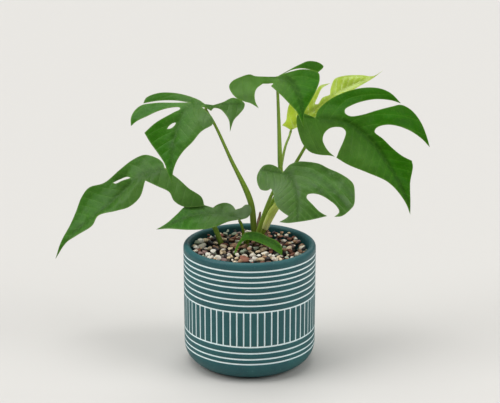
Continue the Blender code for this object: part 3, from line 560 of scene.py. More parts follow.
# Each blade is given in millimetres from the top of its stalk: (right, up, forward of the sketch
# plane). The right and up values of edges and holes follow places read by eye in the photo, which a
# scratch program turned into millimetres. An edge is a ring of smooth stretches that meet at corners,
# and each goes on from the end of the one before. The midrib runs from base to tip.
BLADES = {
    "far_left": {
        "base": (-87, 45, 71),
        "edge": [
            [(0, 0, 0), (-3, 7, -4), (-10, 12, -9), (-22, 15, -12), (-34, 10, -11), (-48, -1, -8),
             (-63, -14, -5), (-79, -19, -6), (-87, -29, -8), (-93, -45, -6), (-98, -57, -4),
             (-108, -76, -4), (-114, -93, -8)],
            [(-102, -76, 0), (-90, -68, 6), (-74, -58, 10), (-68, -48, 11), (-49, -43, 14), (-36, -39, 14),
             (-25, -29, 12), (-20, -12, 7)],
            [(-7, -18, 9), (5, -24, 12), (10, -33, 14), (21, -39, 15), (41, -38, 13)],
            [(38, -29, 11), (25, -20, 9), (15, -11, 6), (3, -2, 1)]],
        "holes": [[(-54, -14, 0), (-48, -11, 0), (-40, -8, 0), (-36, -9, 0), (-44, -12, 0),
                   (-51, -15, 0)]],
        "midrib": [(-4, -1, 0), (-15, -4, 1), (-27, -9, 2), (-42, -22, 3), (-59, -39, 3), (-77, -52, 0),
                   (-97, -69, -3), (-108, -84, -6)]},
    "mid_left": {
        "base": (-43.4, 20, 142.9),
        "edge": [
            [(-1, 2, -1), (-8, 7, -10), (-20, 12, -20), (-33, 15, -26), (-49, 15, -27), (-61, 10, -22),
             (-64, 4, -17)],
            [(-48, 7, -20), (-31, 7, -18), (-16, 4, -9)],
            [(-31, 4, -13), (-50, 4, -16), (-64, 2, -14), (-71, -3, -9), (-75, -11, -4), (-75, -20, -2)],
            [(-69, -15, 0), (-59, -10, 1), (-46, -4, 0), (-34, -1, -2), (-27, -1, -2), (-26, -3, 0),
             (-33, -7, 3), (-50, -17, 5), (-61, -27, 6)],
            [(-55, -37, 7), (-47, -48, 9), (-41, -57, 11), (-37, -68, 13), (-33, -78, 13)],
            [(-32, -66, 16), (-28, -55, 18), (-22, -46, 19), (-13, -37, 18), (-4, -26, 15), (6, -20, 12)],
            [(8, -16, 10), (6, -11, 8), (1, -6, 4), (-4, -1, 1)],
            [(0, -2, 1), (5, -5, 3)],
            [(8, -2, 1), (14, -3, 1), (19, -8, 3), (23, -15, 6), (24, -26, 8)],
            [(28, -14, 2), (33, -8, -2), (38, -1, -7), (38, 4, -10), (27, 9, -12), (16, 4, -8),
             (7, 1, -4)]],
        "holes": [[(-38.5, -23, 0), (-36.5, -20, 0), (-32, -17, 0), (-30, -17, 0), (-31.5, -20, 0),
                   (-35.5, -22.8, 0)]],
        "midrib": [(-4, 2, -2), (-15, 1, -3), (-24, -9, 1), (-29, -24, 5), (-33, -43, 9), (-34, -60, 12),
                   (-33, -72, 13)]},
    "top": {
        "base": (25.9, 8, 173.7),
        "edge": [
            [(1, 1, 0), (12, 8, -8), (24, 15, -17), (33, 19, -24), (43, 18, -28), (48, 14, -27),
             (43, 8, -21)],
            [(34, 10.5, -20), (25, 11, -15), (15, 8.5, -8), (7, 4, -2)],
            [(15, 6, 2), (25, 8, 5), (34, 7, 9), (41, 4, 13), (42, -3, 17), (38, -15, 22), (32, -26, 27),
             (27, -35, 31), (26, -43, 34), (26, -52, 37)],
            [(23, -44, 36), (19, -35, 33), (12, -27, 29), (4, -18, 22), (-5, -9, 14)],
            [(-3, -6, 9), (-8, -6, 7), (-13, -6, 6)],
            [(-19, -11, 10), (-21, -18, 14), (-20, -25, 17), (-17, -31, 20)],
            [(-25, -26, 16), (-31, -24, 13), (-39, -20, 9), (-44, -14, 5), (-46, -8, 1), (-43, -3, -3),
             (-36, 1, -6), (-26, 4, -6), (-20, 2, -3), (-8, 1, -1)]],
        "holes": [],
        "midrib": [(3, 0, 2), (8, -1, 6), (16, -7, 12), (21, -18, 21), (25, -34, 30), (26, -46, 35)]},
    "young": {
        "base": (42.2, 45, 112.2),
        "edge": [
            [(0, 0, 0), (-5, 3, 0), (-9, 5, -2)],
            [(-5, 10, -3), (-4, 17, -4), (-2, 26, -5), (3, 33, -6), (9, 38, -8)],
            [(17, 33, -6), (23, 36, -8), (30, 46, -10), (41, 49, -14)],
            [(32, 43, -9), (28, 35, -7), (25, 27, -6), (28, 27, -6)],
            [(33, 34, -9), (40, 37, -11), (41, 42, -13), (43, 49, -16), (46, 54, -19), (54, 57, -22),
             (64, 58, -23), (74, 58, -23), (86, 57, -21), (96, 63, -21)],
            [(86, 55, -18), (71, 46, -14), (58, 38, -11), (45, 30, -9), (32, 18, -6), (19, 10, -3),
             (7, 3, -1)]],
        "holes": [],
        "midrib": [(3, 3, -1), (15, 14, -4), (30, 25, -7), (45, 37, -12), (60, 46, -17), (78, 53, -20)]},
    "right": {
        "base": (66.3, 30, 128.1),
        "edge": [
            [(0, 0, 0), (2, 7, -4), (9, 15, -8), (21, 23, -11), (36, 29, -13), (52, 32, -14),
             (67, 31, -15), (78, 26, -16), (88, 16, -16)],
            [(78, 19, -13), (62, 20, -10), (46, 17, -7), (36, 13, -4), (30, 9, -1), (30, 5, 0), (35, 2, 1),
             (45, 3, 1), (62, 8, -1), (77, 12, -4), (87, 14, -7), (97, 9, -8), (106, -2, -8),
             (112, -16, -7), (116, -29, -7)],
            [(108, -21, -2), (96, -13, 2), (82, -8, 5), (70, -7, 6), (61, -10, 7), (59, -14, 8),
             (67, -21, 9), (76, -30, 10), (86, -38, 10), (96, -43, 8)],
            [(97, -49, 9), (94, -65, 12), (94, -85, 13), (94, -97, 11)],
            [(90, -87, 16), (81, -74, 19), (70, -64, 21), (50, -55, 20), (31, -47, 17), (20.2, -40.2, 14)],
            [(23, -33, 13), (28, -22, 10), (30, -14, 7), (27, -10, 5), (22, -9, 4), (15, -10, 3),
             (9, -15, 4), (7, -22, 6), (9, -28, 8), (13, -34, 10), (18.8, -39.2, 12)],
            [(14, -38, 11), (3, -37, 9), (-6, -34, 7), (-13, -26, 4), (-17, -15, 1), (-19, -4, -1),
             (-18, 3, -2), (-12, 5, -3), (-6, 3, -2)]],
        "holes": [],
        "midrib": [(4, 0, 0), (19, -2, 1), (32, -5, 2), (46, -14, 3), (62, -31, 7), (72, -47, 11),
                   (83, -66, 14), (91, -83, 13)]},
    "front": {
        "base": (33.1, -5, 81.1),
        "edge": [
            [(0, 0, 0), (-5, 5, -1), (-12, 8, -1), (-19, 7, 0), (-24, 1, 2), (-26, -5, 4), (-25, -12, 6),
             (-22, -17, 8), (-16, -18, 9), (-12, -16, 9)],
            [(-10, -20, 10), (-9, -27, 12), (-6, -34, 13), (-1, -39, 13), (5, -43, 12)],
            [(3, -45, 11), (-4, -49, 8)],
            [(4, -50, 12), (13, -49, 15), (26, -47, 17), (43, -43, 16)],
            [(36, -39, 17), (29, -32, 16), (23, -25, 14), (24, -22, 13), (30, -21, 12), (38, -23, 11),
             (46, -28, 11), (52, -33, 11), (55, -39, 11), (50, -44, 12)],
            [(58, -43, 11), (67, -36, 8), (70, -32, 7), (71, -22, 4), (70, -12, 1), (66, -7, -1),
             (57, -1, -4), (46, 4, -6), (36, 9, -8), (24, 11, -8), (15, 11, -6), (7, 8, -4), (3, 4, -2)]],
        "holes": [],
        "midrib": [(1, -1, 0), (5, -2, 1), (10, -8, 3), (13, -17, 6), (14, -27, 9), (14, -37, 12)]},
    "low_left": {
        "base": (-10.3, 10, 28.5),
        "edge": [
            [(0, -1, 0), (-11, -3, 5), (-21, -7, 12), (-32, -10, 17), (-51, -11, 19), (-71, -10, 14),
             (-84, -11, 6)],
            [(-74, -5, 2), (-64, 4, -4), (-56, 12, -9), (-47, 17, -13), (-37, 14, -12), (-27, 11, -10)],
            [(-23, 14, -13), (-16, 16, -16), (-10, 15, -15), (-6, 12, -11), (-4, 9, -7)],
            [(2, 11, -4), (6, 14, -3), (9, 14, -1), (12, 11, 1), (12, 6, 2), (8, 1, 2), (2, -1, 0)]],
        "holes": [],
        "midrib": [(-2, 1, -1), (-13, 4, -3), (-27, 5, -4), (-40, 4, -3), (-55, 0, 0), (-70, -6, 3)]},
    "small": {
        "base": (-3.7, 8, 14.2),
        "edge": [
            [(0, 0, 0), (6, 1, 1), (14, 0, 4), (22, -4, 10), (31, -8, 18), (36, -14, 25), (36, -22, 30)],
            [(31.5, -19, 30), (26, -15.5, 27), (19, -12, 22), (11, -9, 16), (3, -7, 12)],
            [(-2, -8, 12), (-6, -12, 17), (-9, -17.5, 22), (-12, -22, 27)],
            [(-10, -14, 21), (-6, -7, 12), (-3, -2, 3)]],
        "holes": [],
        "midrib": [(3, -1, 3), (12, -2, 8), (22, -6, 14), (31, -12, 23)]},
}
# How each leaf differs: how clear of painted grey sheen it is at the base and at the tip, from -1 (the most
# sheen painted on) through 0 (some) to 1 (a fresh green with none), how much clearer of painted sheen its
# left half is, its wrinkling, and how far its side veins stand apart in mm.
LEAF_LOOK = {
    "far_left": (0.05, 0.85, -0.20, 1.0, 10.0), "mid_left": (0.10, 1.2, -0.35, 1.0, 9.0),
    "low_left": (-0.7, 1.35, 0.05, 0.8, 9.0), "small": (0.7, 0.5, 0.0, 0.6, 6.0),
    "front": (0.0, 0.10, 0.45, 1.1, 7.0), "top": (0.20, 1.2, 0.40, 1.0, 8.0),
    "young": (0.2, 1.0, 0.0, 1.5, 7.0), "right": (0.40, 1.0, 0.40, 0.9, 10.0)}
LOOK_REACH = 18  # how far from the midrib a half's own look is full, in mm


def ring_of(stretches, step):
    """The closed ring of edge points, with the corner between two stretches kept once."""
    ring = []
    corner = []
    for stretch in stretches:
        ring.extend(smooth_curve(corner + stretch, step))
        corner = stretch[-1:]
    kept = []
    for point in ring:
        if not kept or np.linalg.norm(point[:2] - kept[-1][:2]) > SAME_POINT:
            kept.append(point)
    if np.linalg.norm(kept[0][:2] - kept[-1][:2]) <= SAME_POINT:
        kept.pop()
    return kept


def inside_of(spots, rings):
    """Which spots lie inside an odd number of rings."""
    odd = np.zeros(len(spots), dtype=bool)
    for ring in rings:
        flat = np.array(ring)[:, :2]
        for start, end in zip(flat, np.roll(flat, -1, axis=0)):
            spans = (start[1] > spots[:, 1]) != (end[1] > spots[:, 1])
            rise = end[1] - start[1] if end[1] != start[1] else 1e-9
            crossing = start[0] + (spots[:, 1] - start[1]) * (end[0] - start[0]) / rise
            odd ^= spans & (spots[:, 0] < crossing)
    return odd


def distance_to(spots, points):
    """How far each spot is from the nearest of the points, seen flat."""
    return np.min(np.linalg.norm(spots[:, None, :] - points[None, :, :2], axis=2), axis=1)


def filled_blade(blade, edge_step, grid_step):
    """Flat triangles over the drawn blade: (points, known depth or nan, triangles, edge points)."""
    edge = ring_of(blade["edge"], edge_step)
    holes = [ring_of([hole + hole[:1]], edge_step / 2) for hole in blade["holes"]]
    midrib = smooth_curve(blade["midrib"], grid_step)
    rim = np.array([point for ring in (edge, *holes) for point in ring])
    low = rim[:, :2].min(axis=0)
    high = rim[:, :2].max(axis=0)
    row_height = grid_step * math.sqrt(3) / 2
    grid = np.array([(low[0] + (column + row % 2 / 2) * grid_step, low[1] + row * row_height)
                     for row in range(int((high[1] - low[1]) / row_height) + 2)
                     for column in range(int((high[0] - low[0]) / grid_step) + 2)])
    keep = inside_of(grid, (edge, *holes)) & (distance_to(grid, rim) > EDGE_ROOM * grid_step)
    keep &= distance_to(grid, np.array(midrib)) > RIB_ROOM * grid_step
    spine = np.array([point for point in midrib
                      if distance_to(np.array([point[:2]]), rim)[0] > SPINE_ENDS])
    points = np.vstack([rim[:, :2], spine[:, :2], grid[keep]])
    depths = np.full(len(points), np.nan)
    depths[:len(edge)] = rim[:len(edge), 2]
    depths[len(rim):len(rim) + len(spine)] = spine[:, 2]
    edges = []
    first = 0
    for ring in (edge, *holes):
        edges.extend((first + i, first + (i + 1) % len(ring)) for i in range(len(ring)))
        first += len(ring)
    _, _, out_faces, _, _, _ = delaunay_2d_cdt([Vector(point) for point in points], edges, [], 0, 1e-6)
    centres = np.array([np.mean([points[i] for i in face], axis=0) for face in out_faces])
    odd = inside_of(centres, (edge, *holes))
    triangles = np.array([face for face, inside in zip(out_faces, odd) if inside])
    used, renumbered = np.unique(triangles, return_inverse=True)
    return points[used], depths[used], renumbered.reshape(-1, 3), rim


def neighbours_of(triangles):
    """Every joined pair of points, both ways round, each once."""
    pairs = np.vstack([triangles[:, [0, 1]], triangles[:, [1, 2]], triangles[:, [2, 0]]])
    return np.unique(np.vstack([pairs, pairs[:, ::-1]]), axis=0)


def spread_depths(depths, triangles):
    """Fill the unknown depths so that the sheet bends as little as it can."""
    count = len(depths)
    joined = np.zeros((count, count))
    pairs = neighbours_of(triangles)
    joined[pairs[:, 0], pairs[:, 1]] = 1.0
    bend = np.eye(count) - joined / joined.sum(axis=1, keepdims=True)
    known = ~np.isnan(depths)
    pull = np.where(known, DRAWN_PULL, 0.0)
    return np.linalg.solve(bend.T @ bend + np.diag(pull), pull * np.where(known, depths, 0.0))


def depths_at(spots, points, depths, triangles):
    """The depth of a coarse sheet under each spot."""
    tree = BVHTree.FromPolygons([(x, y, 0.0) for x, y in points], triangles.tolist())
    found = []
    for x, y in spots:
        place, _, index, _ = tree.find_nearest((x, y, 0.0))
        a, b, c = triangles[index]
        sides = np.array([points[b] - points[a], points[c] - points[a]]).T
        shares = np.linalg.solve(sides, np.array(place[:2]) - points[a])
        found.append(depths[a] + shares[0] * (depths[b] - depths[a]) + shares[1] * (depths[c] - depths[a]))
    return np.array(found)


def evened(values, pairs, passes, pulls=(0.55, -0.57)):
    """Smooth values over a sheet without shrinking it, by a push out after each pull in."""
    counts = np.bincount(pairs[:, 0], minlength=len(values))
    for _ in range(passes):
        for pull in pulls:
            totals = np.bincount(pairs[:, 0], weights=values[pairs[:, 1]], minlength=len(values))
            values = values + pull * (totals / counts - values)
    return values


def beside_midrib(points, midrib):
    """How far along the midrib and how far to its left each point is, and the midrib's length."""
    curve = np.array(smooth_curve(midrib, 1.5))[:, :2]
    first = curve[0] + (curve[0] - curve[2]) / np.linalg.norm(curve[0] - curve[2]) * 80
    last = curve[-1] + (curve[-1] - curve[-3]) / np.linalg.norm(curve[-1] - curve[-3]) * 40
    path = np.vstack([first, curve, last])
    legs = path[1:] - path[:-1]
    lengths = np.linalg.norm(legs, axis=1)
    starts = np.concatenate([[0], np.cumsum(lengths)[:-1]]) - lengths[0]
    offsets = points[:, None, :] - path[None, :-1, :]
    shares = np.clip((offsets * legs).sum(axis=2) / lengths**2, 0, 1)
    gaps = np.linalg.norm(offsets - shares[:, :, None] * legs, axis=2)
    nearest = gaps.argmin(axis=1)
    rows = np.arange(len(points))
    cross = legs[nearest, 0] * offsets[rows, nearest, 1] - legs[nearest, 1] * offsets[rows, nearest, 0]
    along = starts[nearest] + shares[rows, nearest] * lengths[nearest]
    return along, np.sign(cross) * gaps[rows, nearest], lengths[1:-1].sum()


def eased(value, low, high):
    """From 0 at low to 1 at high, with soft ends."""
    share = np.clip((value - low) / (high - low), 0, 1)
    return share * share * (3 - 2 * share)


def sketch_places(base, points, depths):
    """Drawn points and their depths in mm, as places in the scene."""
    right, up, front = (np.array(way) for way in (SKETCH_RIGHT, SKETCH_UP, SKETCH_FRONT))
    return np.array(base) + MM * (points[:, :1] * right + points[:, 1:] * up + depths[:, None] * front)


def facings(places, triangles):
    """The way that the sheet faces at each point, on its upper side."""
    corners = places[triangles]
    across = np.cross(corners[:, 1] - corners[:, 0], corners[:, 2] - corners[:, 0])
    total = np.zeros_like(places)
    for corner in range(3):
        np.add.at(total, triangles[:, corner], across)
    return total / np.linalg.norm(total, axis=1, keepdims=True)


def coarse_sheet(leaf):
    """The sheet of a blade in large triangles: its points, their depths and the triangles."""
    points, depths, triangles, _ = filled_blade(BLADES[leaf], COARSE_EDGE, COARSE_GRID)
    return points, spread_depths(depths, triangles), triangles


def waves(points, step, seed):
    """Slow waves over a flat sheet, about one step apart in mm."""
    return np.array([noise(Vector((x / step, y / step, seed))) for x, y in points])


def vein_runs(along, aside, length, vein_step, pairs):
    """A count over the blade that goes up by one from each side vein to the next."""
    away = np.abs(aside)
    run = (along - VEIN_SWEEP * away - VEIN_BEND * away**2) / (1 + VEIN_FAN * away / length)
    soft = evened(run, pairs, 16, pulls=(0.5,))
    run = run + (soft - run) * eased(away, 3.0, 8.0)
    return run / vein_step + np.where(aside < 0, VEIN_OFFSET, 0.0)


def build_blade(leaf):
    """A blade with its relief. Returns it, and where the stalk meets it and which way it faces there."""
    blade = BLADES[leaf]
    clear_at_base, clear_at_tip, lean, wrinkling, vein_step = LEAF_LOOK[leaf]
    base = above_gravel([blade["base"]])[0]
    coarse = coarse_sheet(leaf)
    points, _, triangles, rim = filled_blade(blade, FINE_EDGE, FINE_GRID)
    pairs = neighbours_of(triangles)
    from_edge = distance_to(points, rim)
    along, aside, length = beside_midrib(points, blade["midrib"])
    to_tip = np.clip(along / length, 0, 1)
    inner = eased(from_edge, 0.5, 6.0)

    seed = len(leaf) * 7.3 + blade["base"][0]
    swell = waves(points, SWELL_STEP, seed)
    ripple = waves(points, RIPPLE_STEP, seed + 9)
    depths = evened(depths_at(points, *coarse), pairs, 14)
    depths = depths + wrinkling * (SWELL_HEIGHT * swell + RIPPLE_HEIGHT * ripple * inner)
    run = vein_runs(along, aside, length, vein_step, pairs)
    between = 1 - np.abs(2 * (run - np.floor(run)) - 1) ** 2
    quilt = between * inner * eased(np.abs(aside), 1.0, 5.0) * QUILT_HEIGHT * wrinkling
    rib_width = RIB_WIDTH - RIB_NARROWS * to_tip + RIB_FLARE * eased(-along, 0, 5)
    rib = np.exp(-(aside / rib_width) ** 2) * eased(along, -3.0, 1.5) * eased(from_edge, 0.3, 2.5)
    rib_depth = RIB_DEPTH - RIB_SHALLOWS * to_tip
    half = (EDGE_THICKNESS + (BLADE_THICKNESS - EDGE_THICKNESS) * eased(from_edge, 0, 2.5)) / 2
    upper = half + MM * (quilt - rib * rib_depth)
    lower = half + MM * (rib * rib_depth * RIB_BELOW - quilt * QUILT_BELOW)

    middle = sketch_places(base, points, depths)
    facing = facings(middle, triangles)
    walls = edge_walls(triangles, len(points))
    faces = triangles.tolist() + (triangles[:, ::-1] + len(points)).tolist() + walls
    skins = np.vstack([middle + facing * upper[:, None], middle - facing * lower[:, None]])
    piece = new_piece("leaf_" + leaf, skins, faces)
    sides = np.concatenate([np.zeros(len(triangles)), np.ones(len(triangles)), np.full(len(walls), 2)])
    piece.data.polygons.foreach_set("material_index", sides.astype(np.int32))
    keep_edge_crisp(piece, walls)

    # Painted grey sheen: the stored value runs from base to tip, the lean gives one half more painted sheen
    # than the other, and slow swells vary it. The lower it is, the more grey sheen is painted on.
    clear_of_sheen = clear_at_base + (clear_at_tip - clear_at_base) * to_tip
    clear_of_sheen = clear_of_sheen + lean * np.clip(aside / LOOK_REACH, -1, 1) + 0.25 * swell
    off_rib = aside / rib_width * (1 + eased(-along, -1, 3) * 9)
    for name, values in (("rib", off_rib), ("vein_run", run), ("from_edge", from_edge),
                         ("clear_of_sheen", np.clip(clear_of_sheen, -1, 1))):
        give_values(piece, name, np.tile(values, 2))
    places = sketch_places(base, coarse[0], coarse[1])
    nearest = np.linalg.norm(places - np.array(base), axis=1).argmin()
    return piece, Vector(places[nearest]), Vector(facings(places, coarse[2])[nearest])


def edge_walls(triangles, count):
    """The narrow faces that close the sheet at its edge and round its holes."""
    pairs = np.vstack([triangles[:, [0, 1]], triangles[:, [1, 2]], triangles[:, [2, 0]]])
    both_ways = {(int(a), int(b)) for a, b in pairs}
    return [(a, a + count, b + count, b) for a, b in sorted(both_ways) if (b, a) not in both_ways]


def keep_edge_crisp(piece, walls):
    """The narrow edge faces don't share their shading with the two faces of the leaf."""
    crisp = {frozenset(pair) for a, c, d, b in walls for pair in ((a, b), (c, d))}
    ends = np.zeros(len(piece.data.edges) * 2, dtype=np.int32)
    piece.data.edges.foreach_get("vertices", ends)
    marks = [frozenset(pair) in crisp for pair in ends.reshape(-1, 2).tolist()]
    piece.data.attributes.new("sharp_edge", "BOOLEAN", "EDGE").data.foreach_set("value", marks)


def vein_group():
    """Masks from 0 to 1: midrib, the dip beside it, side veins, the panels between, fine net and edge."""
    group, given, result = new_group("leaf_veins", {"Vein Width": 0.09},
                                     ["Midrib", "Trough", "Veins", "Panel", "Net", "Edge"])
    run = stored(group, "vein_run")
    off_rib = add_node(group, "Math", {0: stored(group, "rib")}, operation="ABSOLUTE").outputs[0]
    off_vein = add_node(group, "Math", {0: run, 1: 0.5}, operation="PINGPONG").outputs[0]
    rows = product_of(group, run, 5.0)
    off_net = add_node(group, "Math", {0: rows, 1: 0.5}, operation="PINGPONG").outputs[0]
    cells = add_node(group, "TexVoronoi", {"Vector": add_node(group, "TexCoord").outputs["Object"],
                                           "Scale": 620.0}, feature="DISTANCE_TO_EDGE")
    masks = {
        "Midrib": stretched(group, off_rib, 0.1, 0.62, 1.0, 0.0),
        "Trough": stretched(group, off_rib, 0.5, 4.2, 1.0, 0.0),
        "Veins": stretched(group, off_vein, 0.0, given.outputs["Vein Width"], 1.0, 0.0),
        "Panel": stretched(group, off_vein, 0.08, 0.46),
        "Net": sum_of(group, stretched(group, off_net, 0.0, 0.3, 0.5, 0.0),
                      stretched(group, cells.outputs["Distance"], 0.0, 0.2, 0.5, 0.0)),
        "Edge": stretched(group, stored(group, "from_edge"), 0.2, 1.6, 1.0, 0.0)}
    for name, mask in masks.items():
        group.links.new(mask, result.inputs[name])
    return group


LEAF_VEINS = vein_group()
# A grey green painted over the leaves as sheen where they are least clear of it.
SHEEN_GREY = paint(112, 138, 96)


def leaf_face_finish(name, sheen_green, fresh, pale_line, rib_paint, roughness, sheen, vein_height, shares):
    """One face of a leaf: fresh green with painted grey sheen laid over it in places, and painted shade
    deepening it beside the midrib and in the panels between the veins.

    The shares are of the pale side veins, of the painted shade in the panels between them and of the
    painted shade in the dip along the midrib. The roughness and the sheen are those of the skin, and the
    height is that of the side veins.
    """
    vein_share, panel_shade_share, trough_shade_share = shares
    material, tree, shader = new_finish(name, IOR=1.42, Specular_IOR_Level=sheen, Subsurface_Weight=0.12,
                                        Subsurface_Radius=(0.5, 1.0, 0.1), Subsurface_Scale=1.2 * MM)
    cloud = use_group(tree, MOTTLE, Broad_Scale=34.0, Fine_Scale=420.0)
    veins = use_group(tree, LEAF_VEINS, Vein_Width=0.11)
    clear_of_sheen = stored(tree, "clear_of_sheen")
    # Painted grey sheen over the fresh green, strongest where the stored value is lowest.
    colour = blended(tree, clear_of_sheen, sheen_green, fresh)
    colour = blended(tree, stretched(tree, clear_of_sheen, -1.0, 0.0, 1.0, 0.0), colour, SHEEN_GREY)
    # Painted shade: a darker green in the panels between the side veins, where the leaf is clear of painted
    # sheen, and in the dip beside the midrib, plus a slow random mottle.
    shade = product_of(tree, product_of(tree, veins["Panel"], panel_shade_share), clear_of_sheen)
    shade = sum_of(tree, shade, product_of(tree, veins["Trough"], trough_shade_share))
    shade = sum_of(tree, shade, spanned(tree, cloud["Broad"], 0.30, 0.0))
    colour = blended(tree, shade, colour, blended(tree, 0.60, colour, paint(20, 52, 2)))
    colour = tinted(tree, colour, cloud["Fine"], 0.4, 1.0, 0.30, blended(tree, 0.35, colour, pale_line))
    for mask, share, tint in (("Veins", vein_share, pale_line), ("Net", vein_share * 0.35, pale_line),
                              ("Midrib", 0.40, rib_paint), ("Edge", 0.40, pale_line)):
        colour = blended(tree, product_of(tree, veins[mask], share), colour, tint)
    gloss = spanned(tree, cloud["Broad"], roughness - 0.04, roughness + 0.06)
    gloss = sum_of(tree, gloss, spanned(tree, veins["Net"], 0.0, 0.06))
    height = product_of(tree, veins["Veins"], vein_height)
    height = sum_of(tree, height, product_of(tree, veins["Net"], 0.30 * vein_height))
    height = sum_of(tree, height, product_of(tree, cloud["Fine"], 0.5))
    finish_surface(tree, shader, colour, gloss, height, 0.12 * MM)
    return material


def leaf_edge_finish(name, shade, aged):
    """The cut-thin edge of a leaf, pale and here and there brown."""
    material, tree, shader = new_finish(name, IOR=1.42)
    cloud = use_group(tree, MOTTLE, Broad_Scale=60.0, Fine_Scale=700.0)
    colour = tinted(tree, shade, cloud["Broad"], 0.6, 1.0, 0.7, aged)
    finish_surface(tree, shader, colour, spanned(tree, cloud["Fine"], 0.45, 0.6), cloud["Fine"], 0.05 * MM)
    return material


LEAF_UNDER = leaf_face_finish("leaf_under", paint(96, 138, 58), paint(94, 144, 44), paint(136, 168, 92),
                              paint(146, 176, 90), 0.52, 0.35, 1.4, (0.30, 0.05, 0.15))
LEAF_EDGE = leaf_edge_finish("leaf_edge", paint(120, 152, 70), paint(118, 96, 50))
# The upper faces differ in how much painted shade they take in the panels between side veins and beside the
# midrib. The front leaf's finish paints strong arcs of shade between its side veins.
DULL_FACES = [
    leaf_face_finish("leaf_upper_dull", paint(74, 116, 44), paint(48, 112, 2), paint(116, 152, 74),
                     paint(60, 102, 26), 0.40, 0.22, -1.0, (0.09, 0.22, 0.42)), LEAF_UNDER, LEAF_EDGE]
ARC_SHADED_FACES = [
    leaf_face_finish("leaf_upper_arc_shaded", paint(78, 118, 48), paint(62, 114, 24), paint(124, 158, 88),
                     paint(60, 102, 26), 0.36, 0.36, -1.2, (0.10, 0.80, 0.50)), LEAF_UNDER, LEAF_EDGE]
DEEP_FACES = [
    leaf_face_finish("leaf_upper_deep", paint(76, 118, 44), paint(42, 104, 0), paint(104, 146, 50),
                     paint(52, 100, 20), 0.44, 0.09, -1.0, (0.09, 0.20, 0.72)), LEAF_UNDER, LEAF_EDGE]
YOUNG_FACES = [
    leaf_face_finish("young_leaf_upper", paint(186, 210, 52), paint(176, 204, 64), paint(210, 224, 128),
                     paint(176, 194, 76), 0.20, 0.75, -1.2, (0.14, 0.08, 0.28)),
    leaf_face_finish("young_leaf_under", paint(176, 206, 104), paint(180, 210, 104), paint(212, 228, 146),
                     paint(206, 222, 140), 0.38, 0.5, 1.2, (0.35, 0.03, 0.10)),
    leaf_edge_finish("young_leaf_edge", paint(184, 208, 100), paint(150, 84, 48))]
LEAF_FACES = {"young": YOUNG_FACES, "right": DEEP_FACES, "top": DEEP_FACES, "small": DEEP_FACES,
              "front": ARC_SHADED_FACES}

leaf_joints = {}
for leaf in BLADES:
    leaf_piece, joint, joint_facing = build_blade(leaf)
    leaf_joints[leaf] = (joint, joint_facing)
    for face_finish in LEAF_FACES.get(leaf, DULL_FACES):
        leaf_piece.data.materials.append(face_finish)
    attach(leaf_piece, "root")
    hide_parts("blade_" + leaf)

# ---------------------------------------------------------------- leaf stalks
# Each leaf hangs on one firm stalk: grooved on its upper side, with two low wings beside the
# groove, and a short pale swollen knee just under the blade. Older ones grow from the stem.
# Stalks: route from inside what carries it to just under its blade, and radii along it in mm. The
# routes started from places read and turned into millimetres like the blades', and were then moved.
STALKS = {
    "far_left": {
        "route": [(-24, 18, -22), (-26, 18, -10), (-29.5, 18, 0), (-36.5, 25, 15), (-50, 38, 33.5),
                  (-71, 47, 54.5)],
        "radii": [2.6, 2.6, 2.5, 2.0, 1.6, 1.5]},
    "mid_left": {
        "route": [(7, 20, 3), (4.6, 21.8, 13), (0.8, 21.5, 43), (-19.0, 20, 88), (-35.5, 20, 125)],
        "radii": [3.2, 3.1, 2.9, 2.1, 1.6, 1.4]},
    "low_left": {
        "route": [(-7, 18, -21), (-7, 17, -6), (-6.5, 15.5, 6), (-7, 14, 15), (-9, 12.5, 23)],
        "radii": [1.8, 1.8, 1.6, 1.4, 1.3]},
    "small": {
        "route": [(0.5, 17.6, -17), (-1.2, 13.5, -6), (-2.5, 12, 4)],
        "radii": [2.4, 2.4, 2.2, 1.6]},
    "front": {
        "route": [(9, 17, 2), (8.5, 13, 11), (15.5, 9, 36), (22.5, 5, 56)],
        "radii": [2.3, 2.3, 2.0, 1.7, 1.5]},
    "top": {
        "route": [(10, 19, 2), (14, 18, 12), (22.5, 18.5, 33), (28.6, 19, 46), (31.2, 19, 67),
                  (30.4, 17, 90), (28.7, 13, 136), (27.7, 11, 158)],
        "radii": [2.3, 2.3, 2.3, 2.3, 2.4, 2.0, 1.7, 1.4]},
    "young": {
        "route": [(31.3, 18.5, 75), (32.8, 23, 85), (36.5, 31, 99.5), (40, 38, 106.5)],
        "radii": [1.4, 1.4, 1.3, 1.2, 1.1]},
    "right": {
        "route": [(11, 21, 2), (12.5, 26, 12), (20.5, 29.5, 34), (35.5, 32, 60), (49.3, 32, 85),
                  (57.4, 32, 100), (63.5, 32, 114)],
        "radii": [2.9, 2.8, 2.4, 2.0, 1.8, 1.6, 1.5]},
}
STALK_STEP = 1.2 * MM
STALK_SIDES = 24
KNEE = (6.5, 3.2, 0.22)  # how far below the blade it sits, its half length in mm, and its swelling
GROOVE = (0.42, 0.20)  # half width as an angle, and depth as a share of the radius
WINGS = (0.85, 0.13, 0.24)  # angle from the groove, height as a share of the radius, width as an angle
UPPER_WAY = Vector((0.35, -0.75, 0.60))


def stalk_shape(radii, length):
    """The radius of a stalk at each place along it and round it, for the body that grows along it."""
    places = np.linspace(0, 1, len(radii) + 1)

    def width_at(travelled, share, angle):
        width = float(np.interp(share, places, [*radii, radii[-1]]))
        turn = abs(math.remainder(angle, 2 * math.pi))
        grooved = GROOVE[1] * math.exp(-(turn / GROOVE[0]) ** 2)
        winged = WINGS[1] * math.exp(-((turn - WINGS[0]) / WINGS[2]) ** 2)
        to_blade = length / MM * (1 - share)
        knee = math.exp(-((to_blade - KNEE[0]) / KNEE[1]) ** 2)
        return width * MM * (1 + KNEE[2] * knee + (winged - grooved) * (1 - 0.8 * knee))
    return width_at


